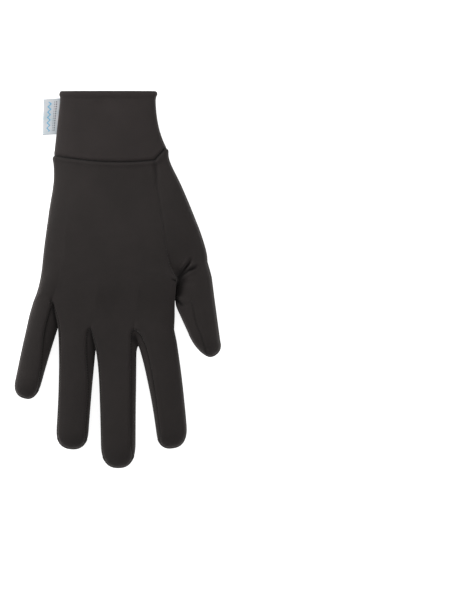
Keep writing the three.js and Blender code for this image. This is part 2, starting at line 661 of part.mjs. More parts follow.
function toGeometry(positions, triangles) {
  const geometry = new THREE.BufferGeometry();
  geometry.setAttribute("position", new THREE.Float32BufferAttribute(positions, 3));
  geometry.setIndex(triangles);
  geometry.computeVertexNormals();
  return geometry;
}

// Where the two side edges of the cuff lie, at a share of the way from the wrist to the fold.
function cuffSides(share) {
  const wristLeft = plan(pinkySide[0].across, pinkySide[0].along).x;
  const wristRight = plan(thumbSide[0].across, thumbSide[0].along).x;
  const hemMiddle = CUFF_CENTRE_ACROSS * HAND_WIDTH;
  const halfWidth = CUFF_WIDTH / 2 - HEM_FLARE;
  const flare = HEM_FLARE * smooth((share - FLARE_START) / (1 - FLARE_START));
  return {
    left: lerp(wristLeft, hemMiddle - halfWidth, share) - flare,
    right: lerp(hemMiddle + halfWidth, wristRight, (1 - share) ** CUFF_HOLLOW) + flare,
  };
}
const hemY = CUFF_LENGTH - CUFF_CLOTH / 2;

// The cuff band. It carries on from the ring of points round the wrist, and is folded at its end.
function cuffBand() {
  const startOfRows = (outline) => outline.slice(1, -1).map((rows) => rows[0]);
  const ring = [
    ...upperSheet.wrist, ...startOfRows(thumbOutline),
    ...[...lowerSheet.wrist].reverse(), ...startOfRows(pinkyOutline).reverse(),
  ].map(({ index }) => points[index]);
  const wrist = cuffSides(0);

  // One loop of the cuff's outer face, at a share of the way from the wrist to the fold.
  const outerLoop = (share) => {
    const { left, right } = cuffSides(share);
    const flatter = lerp(1, (CUFF_THICKNESS - SEAM_HEIGHT) / wristCrown, smooth(share));
    return ring.map((p) => new THREE.Vector3(
      lerp(left, right, (p.x - wrist.left) / (wrist.right - wrist.left)),
      lerp(p.y + SEAM_GAP / 2, hemY, share),
      SEAM_HEIGHT + (p.z - SEAM_HEIGHT) * (p.z > SEAM_HEIGHT ? flatter : 1),
    ));
  };
  // The same loop drawn inwards, level with the cuff's end.
  const drawnIn = (loop, depth) => loop.map((p, n) => {
    const before = loop[(n + loop.length - 1) % loop.length];
    const after = loop[(n + 1) % loop.length];
    const way = new THREE.Vector2(after.x - before.x, after.z - before.z).normalize();
    return new THREE.Vector3(p.x + way.y * depth, p.y, p.z - way.x * depth);
  });
  const outerLoops = CUFF_ROWS.map(outerLoop);
  const innerLoops = outerLoops.map((loop) => drawnIn(loop, CUFF_CLOTH));
  const foldLoops = range(FOLD_FACETS - 1).map((n) => {
    const turn = (Math.PI * (n + 1)) / FOLD_FACETS;
    const loop = drawnIn(outerLoop(1), (CUFF_CLOTH * (1 - Math.cos(turn))) / 2);
    return loop.map((p) => p.add(new THREE.Vector3(0, (CUFF_CLOTH / 2) * Math.sin(turn), 0)));
  });
  const loops = [...outerLoops, ...foldLoops, ...innerLoops.reverse()];
  const count = ring.length;
  const triangles = loops.flatMap((_, row) => range(count).flatMap((n) => {
    const near = row * count;
    const far = ((row + 1) % loops.length) * count;
    const next = (n + 1) % count;
    return [near + n, near + next, far + next, near + n, far + next, far + n];
  }));
  return toGeometry(loops.flat().flatMap((p) => p.toArray()), triangles);
}

// The label is a small tab of ribbon that stands out of the cuff's side seam.
function labelTab() {
  const wristY = plan(pinkySide[0].across, pinkySide[0].along).y;
  const seamX = (y) => cuffSides((y - wristY) / (hemY - wristY)).left - SEAM_GAP;
  const topY = CUFF_LENGTH - LABEL_FROM_HEM;
  const positions = range(LABEL_ROWS + 1).flatMap((row) => {
    const y = topY - (LABEL_LENGTH * row) / LABEL_ROWS;
    return range(LABEL_COLUMNS + 1).flatMap((column) => {
      const out = column / LABEL_COLUMNS;
      const x = seamX(y) - LABEL_REACH * out;
      const middle = SEAM_HEIGHT - LABEL_DROOP * out * out;
      const slipped = y - LABEL_SLANT * out;
      return [x, slipped, middle + LABEL_CLOTH / 2, x, slipped, middle - LABEL_CLOTH / 2];
    });
  });
  const at = (row, column, under) => 2 * (row * (LABEL_COLUMNS + 1) + column) + under;
  const triangles = [];
  const quad = (a, b, c, d) => triangles.push(a, b, c, a, c, d);
  for (let row = 0; row < LABEL_ROWS; row++) {
    for (let column = 0; column < LABEL_COLUMNS; column++) {
      const [a, b, c, d] = [[0, 0], [0, 1], [1, 1], [1, 0]].map(([r, s]) => [row + r, column + s]);
      quad(...[a, b, c, d].map((corner) => at(...corner, 0)));
      quad(...[d, c, b, a].map((corner) => at(...corner, 1)));
    }
    const last = LABEL_COLUMNS;
    quad(at(row, 0, 0), at(row + 1, 0, 0), at(row + 1, 0, 1), at(row, 0, 1));
    quad(at(row, last, 1), at(row + 1, last, 1), at(row + 1, last, 0), at(row, last, 0));
  }
  for (let column = 0; column < LABEL_COLUMNS; column++) {
    const last = LABEL_ROWS;
    quad(at(0, column, 1), at(0, column + 1, 1), at(0, column + 1, 0), at(0, column, 0));
    quad(at(last, column, 0), at(last, column + 1, 0), at(last, column + 1, 1), at(last, column, 1));
  }
  return toGeometry(positions, triangles);
}

const knit = new THREE.MeshStandardMaterial({ color: 0x2e2b2a, roughness: 0.85, metalness: 0 });
const cuffKnit = new THREE.MeshStandardMaterial({ color: 0x38343a, roughness: 0.9, metalness: 0 });
const satin = new THREE.MeshStandardMaterial({ color: 0xe4e8f2, roughness: 0.4, metalness: 0 });

const glove = new THREE.Group();
function addPiece(name, geometry, material) {
  const mesh = new THREE.Mesh(geometry, material);
  mesh.name = name;
  glove.add(mesh);
}
const normals = surfaceNormals(points, faces);
const clothPieces = ["back_panel", "palm_panel", "thumb_piece", ...stripNames];
for (const name of clothPieces) {
  const own = faces.filter((face) => face.piece === name);
  addPiece(name, clothWall(points, normals, own, CLOTH), knit);
}
addPiece("cuff_band", cuffBand(), cuffKnit);
addPiece("label_tab", labelTab(), satin);

// The glove rests at height 0, with the middle of its outline over the origin.
const reach = new THREE.Box3().setFromObject(glove);
const middle = reach.getCenter(new THREE.Vector3());
glove.position.set(-middle.x, -middle.y, -reach.min.z);

export default glove;
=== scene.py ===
"""A stretch-knit glove liner for the right hand, lying flat with its back upwards.

The cloth follows one outer surface, worked out in millimetres from the same sizes as the
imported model, much finer and with its seams, folds, stitches and knit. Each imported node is
replaced by one piece of that surface.
"""
import math

import bpy
import numpy as np
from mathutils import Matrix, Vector, noise
from mathutils.kdtree import KDTree


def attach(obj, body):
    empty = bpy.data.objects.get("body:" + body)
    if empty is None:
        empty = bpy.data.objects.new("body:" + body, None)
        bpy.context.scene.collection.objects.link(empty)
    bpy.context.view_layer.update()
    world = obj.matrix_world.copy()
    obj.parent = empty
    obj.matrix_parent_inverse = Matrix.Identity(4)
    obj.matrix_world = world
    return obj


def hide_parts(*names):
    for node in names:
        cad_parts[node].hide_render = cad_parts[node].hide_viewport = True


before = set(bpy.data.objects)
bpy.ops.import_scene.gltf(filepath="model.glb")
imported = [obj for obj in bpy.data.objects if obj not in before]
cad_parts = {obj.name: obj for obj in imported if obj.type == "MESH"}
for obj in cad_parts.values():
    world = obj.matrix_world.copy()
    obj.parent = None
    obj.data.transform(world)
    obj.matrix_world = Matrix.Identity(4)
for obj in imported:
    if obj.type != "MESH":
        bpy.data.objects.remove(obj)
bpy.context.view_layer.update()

MM = 0.001

# Lengths and widths, in millimetres as all that follows
PALM_LENGTH = 108.0
FINGER_LENGTH = 88.4
THUMB_LENGTH = 49.4
HAND_WIDTH = 87.0
FINGER_WIDTH = 22.0
THUMB_WIDTH = 24.5
CUFF_LENGTH = 44.0
CUFF_WIDTH = 61.6

# Heights above the floor
SEAM_HEIGHT = 4.8
WRIST_THICKNESS = 11.0
PALM_THICKNESS = 15.0
FINGER_THICKNESS = 11.5
THUMB_THICKNESS = 12.0
CUFF_THICKNESS = 9.5
TIP_THICKNESS = 3.2

# Cloth
CLOTH = 1.0
CUFF_CLOTH = 2.2
SEAM_GAP = 0.06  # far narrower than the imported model's, as sewn cloth shows none
CORNER_CLOSED = 3.0  # distance over which it closes where three pieces meet
THUMB_CLEARANCE = 1.2
HEM_FLARE = 0.8
LABEL_REACH = 9.6
LABEL_LENGTH = 23.0
LABEL_CLOTH = 0.35
LABEL_DROOP = 1.4
LABEL_SLANT = 0.6
LABEL_FROM_HEM = 4.5

# Forms
FINGER_ROUNDNESS = 0.75
PALM_ROUNDNESS = 0.75
FLOOR_FLATTENING = 1.6
SIDE_ANGLE = math.radians(15)
GAP_ANGLE = math.radians(54)
SIDE_INSET = 0.9
PALM_SLIT = 0.5
TIP_ROUNDNESS = 2.45
THUMB_ROUNDNESS = (1.6, 2.2)  # at its left and at its right
TIP_FULLNESS = 0.8
CUFF_HOLLOW = 2.6
CUFF_CENTRE_ACROSS = -0.07
FLARE_START = 0.85
CROWN_FULL_FROM = 0.45  # shares of the hand's length between which it is thickest
CROWN_FULL_UNTIL = 0.6
WRIST_CROWDING = 0.4
KNUCKLE_BLEND = 0.28
GAP_BLEND = 0.3
WRIST_SAG = {"upper": 2.5, "lower": 0.8}
THUMB_GAP_SHARE = 8 / 13  # of the hand's rows, wrist to knuckles, that lie above the thumb gap
ROOT_BULGE = 5.0  # how far the middle of a finger's first row lies up the hand
ROOT_BULGE_ENDS = 0.125  # share of a finger's shaft over which the bulge dies away
STRIP_NARROWED = 0.85  # how far a strip that the finger hides has gone down its side
STRIP_HIDDEN_BY = 0.45  # and the share of the shaft by which it has
STRIP_FULL = 0.15  # share of the finger's width from which a strip counts as wide
ARCH_POWER = 2.2  # how quickly the long side of a gap's arch comes down to its finger
STRIP_TURN = math.radians(36)  # how far round the fingertip a strip reaches

# Mesh
STEP = 0.72  # between points in the middle of a piece
FINEST = 0.14  # and next to a seam
GROWTH = 1.5  # from the one to the other
SIDE_LEVELS = 13
WELD = 1e-5
Z_SMOOTHING = 60  # rounds that even out the heights away from the seams
BEND_SMOOTHING = 6  # rounds that round off the bend from a sheet to its side
CURVE_STEPS = 80  # between two points of an outline

# Outline: along is a share of PALM_LENGTH from the wrist seam, across a share of HAND_WIDTH
PINKY_SIDE = (  # across, along
    (-0.467, -0.024), (-0.468, 0.12), (-0.5, 0.29), (-0.535, 0.5), (-0.562, 0.68), (-0.587, 0.77),
)
THUMB_SIDE = (
    (0.357, -0.068), (0.373, 0.0), (0.463, 0.15), (0.543, 0.3), (0.615, 0.45), (0.651, 0.56),
)
HAND_EDGE = ((0.417, 0.9),)
THUMB_SEAM = {
    "upper": ((0.2715, 0.002), (0.2935, 0.17), (0.3375, 0.41), (0.381, 0.62)),
    "lower": ((0.25, -0.03), (0.28, 0.2), (0.345, 0.5), (0.39, 0.68)),
}
# A gap's top and the web below it. before and after are its arch at its two fingers: the
# arch's length as a share of FINGER_WIDTH, and how round it is, from 0 for a long slant to 1
# for a quarter circle.
GAPS = (
    dict(across=-0.488, along=0.834, web=(-0.431, 0.99), before=(0.2, 1.0), after=(1.4, 0.35)),
    dict(across=-0.198, along=0.997, web=(-0.156, 1.12), before=(0.17, 1.0), after=(1.2, 0.3)),
    dict(across=0.121, along=1.0, web=(0.154, 1.11), before=(0.22, 1.0), after=(0.76, 0.95)),
    dict(across=0.433, along=0.704, web=(0.407, 0.83), before=(0.0, 1.0), after=(0.09, 1.0)),
)
# A seam's distance from a digit's edge, as shares of its width: at the root and at the tip,
# and the shares of the shaft between which it changes
HIDDEN = (0.045, 0.04, 0.0, 1.0)
DIGITS = (
    dict(name="pinky", root=(-0.536, -0.072), tip=(-0.68, 0.497), width=(0.9, 0.75), bow=-0.008,
         rounds=(0.2, 0.3), seams=(HIDDEN, (0.37, 0.08, 0.2, 1.1)), outer=-1, outer_start=-0.17),
    dict(name="ring", root=(-0.293, 0.109), tip=(-0.34, 0.862), width=(1.05, 0.93), bow=0.0,
         rounds=(0.19, 0.19), seams=(HIDDEN, (0.275, 0.09, 0.1, 0.66)), outer=0, outer_start=0.0),
    dict(name="middle", root=(-0.003, 0.109), tip=(0.0055, 1.0), width=(1.12, 1.0), bow=0.0,
         rounds=(0.19, 0.205), seams=(HIDDEN, (0.15, 0.14, 0.0, 1.0)), outer=0, outer_start=0.0),
    dict(name="index", root=(0.2965, 0.109), tip=(0.4064, 0.858), width=(1.085, 0.895), bow=0.014,
         rounds=(0.18, 0.215), seams=((0.2, 0.13, 0.2, 1.0), HIDDEN), outer=1, outer_start=-0.12),
)
THUMB = dict(name="thumb", root=(0.5276, 0.726), tip=(0.6855, 0.0), width=(1.17, 0.57), bow=0.0,
             rounds=(0.38, 0.16), seams=(HIDDEN, HIDDEN), outer=1, outer_start=-0.2)
STRIPS = [f"strip_{a['name']}_{b['name']}" for a, b in zip(DIGITS, DIGITS[1:])]
SHEETS = ("upper", "lower")


def lerp(a, b, t):
    return a + (b - a) * t


def smooth(t):
    t = np.clip(t, 0.0, 1.0)
    return t * t * (3 - 2 * t)


def bell(distance, radius):
    return np.exp(-((distance / radius) ** 2))


def unit(ways):
    return ways / np.maximum(np.linalg.norm(ways, axis=-1), 1e-12)[..., None]


def beside(way):
    """The direction in plan at a right angle to another, on its left as y points up."""
    return np.stack([-way[..., 1], way[..., 0]], -1)


def plan(across, along):
    return np.array([across * HAND_WIDTH, -along * PALM_LENGTH])


def stations(length):
    """Shares of a length, close together at both ends and a step apart between."""
    fine = []
    gap = FINEST
    while gap < STEP:
        fine.append(gap)
        gap *= GROWTH
    left = length - 2 * sum(fine)
    count = max(1, round(left / STEP))
    at = np.cumsum([0.0] + fine + [left / count] * count + fine[::-1])
    return at / at[-1]


def run_along(points):
    """Distance of each point from the first, along their line."""
    steps = np.linalg.norm(np.diff(points, axis=0), axis=1)
    return np.concatenate([[0.0], np.cumsum(steps)])


def between(at, run, values):
    """Values part of the way along a line."""
    return np.stack([np.interp(at, run, column) for column in values.T], -1)


def curve_through(points):
    """A smooth curve through plan points: places and directions by share of its length."""
    p = np.array(points, float)
    p = np.vstack([2 * p[0] - p[1], p, 2 * p[-1] - p[-2]])
    u = np.linspace(0, 1, CURVE_STEPS, endpoint=False)[:, None]
    dense = []
    for a, b, c, d in zip(p, p[1:], p[2:], p[3:]):
        ta, tb, tc = (np.linalg.norm(q - r) ** 0.5 for q, r in ((b, a), (c, b), (d, c)))
        start = ((b - a) / ta - (c - a) / (ta + tb) + (c - b) / tb) * tb
        end = ((c - b) / tb - (d - b) / (tb + tc) + (d - c) / tc) * tb
        cube = 2 * b - 2 * c + start + end
        square = -3 * b + 3 * c - 2 * start - end
        dense.append(b + start * u + square * u**2 + cube * u**3)
    dense = np.vstack(dense + [p[-2]])
    run = run_along(dense)
    way = unit(np.gradient(dense, run, axis=0))

    def at(share):
        s = np.clip(share, 0, 1) * run[-1]
        return between(s, run, dense), between(s, run, way)

    return at


def dome(share, start, end, roundness):
    turned = np.arccos(1 - 2 * np.clip(share, 0, 1)) / np.pi
    return np.sin(start + turned * (np.pi - start - end)) ** roundness


def sheet_height(is_upper, rise, crown, full=1.0):
    if is_upper:
        return SEAM_HEIGHT + np.maximum(crown * full, TIP_THICKNESS / 2) * rise
    drop = np.maximum(SEAM_HEIGHT * FLOOR_FLATTENING * full, TIP_THICKNESS / 2) * rise
    return np.maximum(0.0, SEAM_HEIGHT - drop)


def side_height(v, rise, crown, full=1.0):
    """Height of a side at level v, from -1 at the upper sheet to 1 at the lower one."""
    upper = sheet_height(True, rise, crown, full)
    lower = sheet_height(False, rise, crown, full)
    return np.where(v < 0, lerp(SEAM_HEIGHT, upper, -v), lerp(SEAM_HEIGHT, lower, v))


def side_rise(roundness):
    return math.sin(SIDE_ANGLE) ** roundness


GAP_RISE = math.sin(GAP_ANGLE) ** FINGER_ROUNDNESS
FINGER_CROWN = FINGER_THICKNESS - SEAM_HEIGHT
THUMB_CROWN = THUMB_THICKNESS - SEAM_HEIGHT
PALM_CROWN = PALM_THICKNESS - SEAM_HEIGHT
WRIST_CROWN = WRIST_THICKNESS - SEAM_HEIGHT
LEVELS = np.linspace(-1, 1, SIDE_LEVELS)

# Rows of points: down the hand above and below the thumb gap, and down each digit
ABOVE_GAP = stations(PALM_LENGTH * GAPS[3]["along"])
BELOW_GAP = stations(PALM_LENGTH * (1 - GAPS[3]["along"]))
HAND_ROWS = np.concatenate([
    ABOVE_GAP * THUMB_GAP_SHARE,
    THUMB_GAP_SHARE + BELOW_GAP[1:] * (1 - THUMB_GAP_SHARE),
])
GAP_ROW = len(ABOVE_GAP) - 1
DIGIT_COLUMNS = stations(FINGER_WIDTH)
THUMB_COLUMNS = stations(THUMB_WIDTH)
TIP_ROWS = 22


def hand_crown(t):
    rising = lerp(WRIST_CROWN, PALM_CROWN, smooth(t / CROWN_FULL_FROM))
    falling = smooth((t - CROWN_FULL_UNTIL) / (1 - CROWN_FULL_UNTIL))
    return lerp(rising, FINGER_CROWN, falling)


def grid(at, height):
    """Plan points and heights as one array of places."""
    return np.concatenate([at, np.broadcast_to(height, at.shape[:-1])[..., None]], -1)


def gap_column(n):
    """The line of points that both neighbours of a gap share, from the upper sheet down."""
    gap = GAPS[n]
    upper, web = plan(gap["across"], gap["along"]), plan(*gap["web"])
    v = LEVELS[:, None]
    at = np.where(v < 0, lerp(web, upper, -v), web)
    at[:, 1] = np.where(LEVELS > 0, lerp(web[1], upper[1], LEVELS * PALM_SLIT), at[:, 1])
    crown = hand_crown(THUMB_GAP_SHARE) if n == len(GAPS) - 1 else FINGER_CROWN
    return grid(at, side_height(LEVELS, GAP_RISE, crown))


class Digit:
    """A digit's own frame: d runs from its root to its tip, side from its middle rightwards."""

    def __init__(self, sizes):
        self.sizes = sizes
        self.is_thumb = sizes is THUMB
        across, along = sizes["root"]
        tip_across, reach = sizes["tip"]
        if self.is_thumb:
            self.root = plan(across, along)
            down = GAPS[3]["along"] * PALM_LENGTH + THUMB_LENGTH
        else:
            self.root = plan(across, 1 + along * FINGER_LENGTH / PALM_LENGTH)
            down = PALM_LENGTH + reach * FINGER_LENGTH
        ahead = np.array([tip_across * HAND_WIDTH, -down]) - self.root
        self.length = np.linalg.norm(ahead)
        self.ahead = ahead / self.length
        self.right = beside(self.ahead)
        self.width = THUMB_WIDTH if self.is_thumb else FINGER_WIDTH
        self.crown = THUMB_CROWN if self.is_thumb else FINGER_CROWN
        self.shaft = stations(self.length * (1 - min(sizes["rounds"])))
        self.turn = np.linspace(0, np.pi / 2, TIP_ROWS + 1)[1:]
        self.rows = len(self.shaft) + len(self.turn)
        self.full = np.concatenate([np.ones(len(self.shaft)), np.cos(self.turn) ** TIP_FULLNESS])
        self.full[-1] = 0.0

    def half_width(self, d):
        share = np.clip(d / self.length, 0, 1)
        narrowing = share if self.is_thumb else np.sin(share * np.pi / 2)
        return self.width * lerp(*self.sizes["width"], narrowing) / 2

    def to_plan(self, d, side):
        share = d / self.length
        bowed = side + self.sizes["bow"] * self.length * 4 * share * (1 - share)
        return self.root + np.multiply.outer(d, self.ahead) + np.multiply.outer(bowed, self.right)

    def seam_inset(self, side):
        """How far the seam at the upper sheet lies inside the digit's edge, at each row."""
        root, tip, start, end = self.sizes["seams"][0 if side < 0 else 1]
        along = lerp(root, tip, smooth((self.shaft - start) / (end - start))) * self.width
        return np.concatenate([along, lerp(along[-1], SIDE_INSET, smooth(self.turn / STRIP_TURN))])

    def edge_angle(self, side):
        """Where the dome starts at each row: lower down where the strip is narrower."""
        if side == self.sizes["outer"]:
            return np.full(self.rows, SIDE_ANGLE)
        shaft_inset = self.seam_inset(side)[:len(self.shaft)]
        held = (shaft_inset - SIDE_INSET) / (STRIP_FULL * self.width - SIDE_INSET)
        along = STRIP_NARROWED * smooth(self.shaft / STRIP_HIDDEN_BY) * (1 - np.clip(held, 0, 1))
        round_tip = lerp(along[-1], 1, smooth(self.turn / STRIP_TURN))
        return lerp(GAP_ANGLE, SIDE_ANGLE, np.concatenate([along, round_tip]))

    def outer_start(self):
        d = self.sizes["outer_start"] * self.length
        return self.to_plan(d, self.sizes["outer"] * self.half_width(d))

    def side(self, side, start, arch, hand_edge=None):
        """Points of one side, by level and row."""
        n = 0 if side < 0 else 1
        round_length = self.sizes["rounds"][n] * self.length
        shaft_end = self.length - round_length
        angle = self.edge_angle(side)
        upper = self.seam_inset(side)
        on_shaft = len(self.shaft)
        found = []
        for level, v in enumerate(LEVELS):
            from_start = start[level, :2] - self.root
            from_d, from_side = from_start @ self.ahead, from_start @ self.right
            inset = np.where(v < 0, upper, SIDE_INSET) * v * v
            d = lerp(from_d, shaft_end, self.shaft)
            reach = self.half_width(d) - inset[:on_shaft]
            power = 2 / (THUMB_ROUNDNESS[n] if self.is_thumb else TIP_ROUNDNESS)
            tip_inset = inset[on_shaft:]
            tip_d = shaft_end + (round_length - tip_inset) * np.sin(self.turn) ** power
            tip_reach = (self.half_width(shaft_end) - tip_inset) * np.cos(self.turn) ** power
            tip_reach[-1] = 0.0
            d = np.concatenate([d, tip_d])
            reach = side * np.concatenate([reach, tip_reach])
            arch_length, arch_round = arch
            if arch_length:
                left = 1 - np.clip((d - from_d) / arch_length, 0, 1)
                blend = lerp(left**ARCH_POWER, 1 - np.sqrt(1 - left**2), arch_round)
                reach = lerp(reach, from_side, blend)
            at = self.to_plan(d, reach)
            if hand_edge is not None:
                at = clear_of_hand(at, hand_edge[level])
            rise = np.sin(angle) ** FINGER_ROUNDNESS
            rise[-1] = 1.0
            points = grid(at, side_height(v, rise, self.crown, self.full))
            points[0] = start[level]
            found.append(points)
        return np.array(found)

    def sheet(self, is_upper, left, right, columns):
        """Points of the upper or the lower sheet, by row and column."""
        level = 0 if is_upper else -1
        a, b = left[level][:, None], right[level][:, None]
        share = columns[None, :, None]
        at = lerp(a[..., :2], b[..., :2], share)
        along = np.concatenate([self.shaft, np.ones(TIP_ROWS)])[:, None]
        dying = np.where(along < 1, np.exp(-along / ROOT_BULGE_ENDS), 0)
        at[..., 1] += ROOT_BULGE * np.sin(np.pi * columns)[None] * dying
        rise = dome(
            columns[None], self.edge_angle(-1)[:, None], self.edge_angle(1)[:, None],
            FINGER_ROUNDNESS,
        )
        points = grid(at, sheet_height(is_upper, rise, self.crown, self.full[:, None]))
        points[:, 0], points[:, -1] = left[level], right[level]
        points[-1] = left[level][-1]
        return points


def clear_of_hand(at, edge):
    """Beside its gap the thumb lies against the hand's edge, with a little room between."""
    y = at[:, 1]
    edge_x = np.interp(-y, -edge[:, 1], edge[:, 0])
    room = THUMB_CLEARANCE * smooth((edge[0, 1] - y) / THUMB_CLEARANCE)
    by_edge = (y < edge[0, 1]) & (y > edge[-1, 1])
    moved = at.copy()
    moved[:, 0] = np.where(by_edge, np.maximum(at[:, 0], edge_x + room), at[:, 0])
    return moved


def outline_side(table, end, outward, shares, crown, rise, start=None):
    """An outline that bounds the hand, from the wrist or from a gap's column: points by level."""
    found = []
    for level, v in enumerate(LEVELS):
        path = [plan(*row) for row in table] + [end]
        inset = SIDE_INSET * v * v
        if start is not None:
            path.insert(0, start[level, :2])
            inset = inset * shares[:, None]
        place, way = curve_through(path)(shares)
        points = grid(place - beside(way) * outward * inset, side_height(v, rise, crown))
        if start is not None:
            points[0] = start[level]
        found.append(points)
    return np.array(found)


def grid_quads(index):
    """The faces between the rows and columns of a patch of points."""
    return np.stack([index[:-1, :-1], index[1:, :-1], index[1:, 1:], index[:-1, 1:]], -1)


class Glove:
    """The outer surface as patches whose faces are labelled by piece."""

    def __init__(self):
        self.points, self.cloth, self.faces, self.labels = [], [], [], []
        self.count = 0
        self.lines = {}

    def add(self, places, piece, turned, names=None, cloth=None):
        """Adds a patch; piece is one name, or an array of one name for each face."""
        index = self.count + np.arange(places[..., 0].size).reshape(places.shape[:2])
        self.count += index.size
        quads = grid_quads(index)
        self.labels.append(np.broadcast_to(piece, quads.shape[:2]).reshape(-1))
        self.faces.append((quads[..., [0, 3, 2, 1]] if turned else quads).reshape(-1, 4))
        self.points.append(places.reshape(-1, 3))
        self.cloth.append((places[..., :2] if cloth is None else cloth).reshape(-1, 2))
        for name, line in (names or {}).items():
            self.lines[name] = index[line]

    def weld(self):
        points, cloth = np.vstack(self.points), np.vstack(self.cloth)
        keys = np.round(points / WELD).astype(np.int64)
        _, first, same = np.unique(keys, axis=0, return_index=True, return_inverse=True)
        same = same.reshape(-1)
        self.place = points[first]
        self.cloth_of_corner = cloth[np.vstack(self.faces)]
        self.quads = same[np.vstack(self.faces)]
        self.label = np.concatenate(self.labels)
        self.lines = {name: same[line] for name, line in self.lines.items()}


def build_sides():
    """The outlines, gaps and digit sides that bound the two sheets."""
    digits = [Digit(sizes) for sizes in DIGITS]
    thumb = Digit(THUMB)
    columns = [gap_column(n) for n in range(len(GAPS))]
    arch = [
        [(length * FINGER_WIDTH, roundness) for length, roundness in (gap["before"], gap["after"])]
        for gap in GAPS
    ]
    no_arch = (0.0, 1.0)
    palm_rise, finger_rise = side_rise(PALM_ROUNDNESS), side_rise(FINGER_ROUNDNESS)
    pinky_line = outline_side(
        PINKY_SIDE, digits[0].outer_start(), -1, HAND_ROWS, hand_crown(HAND_ROWS), palm_rise)
    thumb_line = outline_side(
        THUMB_SIDE, thumb.outer_start(), 1, ABOVE_GAP, hand_crown(ABOVE_GAP * THUMB_GAP_SHARE),
        palm_rise)
    edge = outline_side(
        HAND_EDGE, digits[3].outer_start(), 1, BELOW_GAP, hand_crown(HAND_ROWS[GAP_ROW:]),
        lerp(GAP_RISE, finger_rise, smooth(BELOW_GAP)), columns[3])

    sides = []
    for n, digit in enumerate(digits):
        left = (pinky_line[:, -1], no_arch) if n == 0 else (columns[n - 1], arch[n - 1][1])
        right = (edge[:, -1], no_arch) if n == 3 else (columns[n], arch[n][0])
        sides.append((digit.side(-1, *left), digit.side(1, *right)))
    thumb_sides = (
        thumb.side(-1, columns[3], arch[3][1], hand_edge=edge),
        thumb.side(1, thumb_line[:, -1], no_arch),
    )
    return digits, thumb, sides, thumb_sides, pinky_line, thumb_line, edge


def patch(top, bottom, left, right, s, t):
    """Points inside four boundary lines (a Coons patch). s and t are arrays of shares."""
    s, t = s[..., None], t[:, None, None]
    straight = lerp(top, bottom[None], t)
    left_off = left[:, None] - lerp(left[0], left[-1], t)
    right_off = right[:, None] - lerp(right[0], right[-1], t)
    return straight + left_off * (1 - s) + right_off * s


def share_between(at, left, right):
    """Where a row's points lie from side to side between two lines that cross the row."""
    left, right = left[:, None, 0], right[:, None, 0]
    return (at[..., 0] - left) / (right - left)


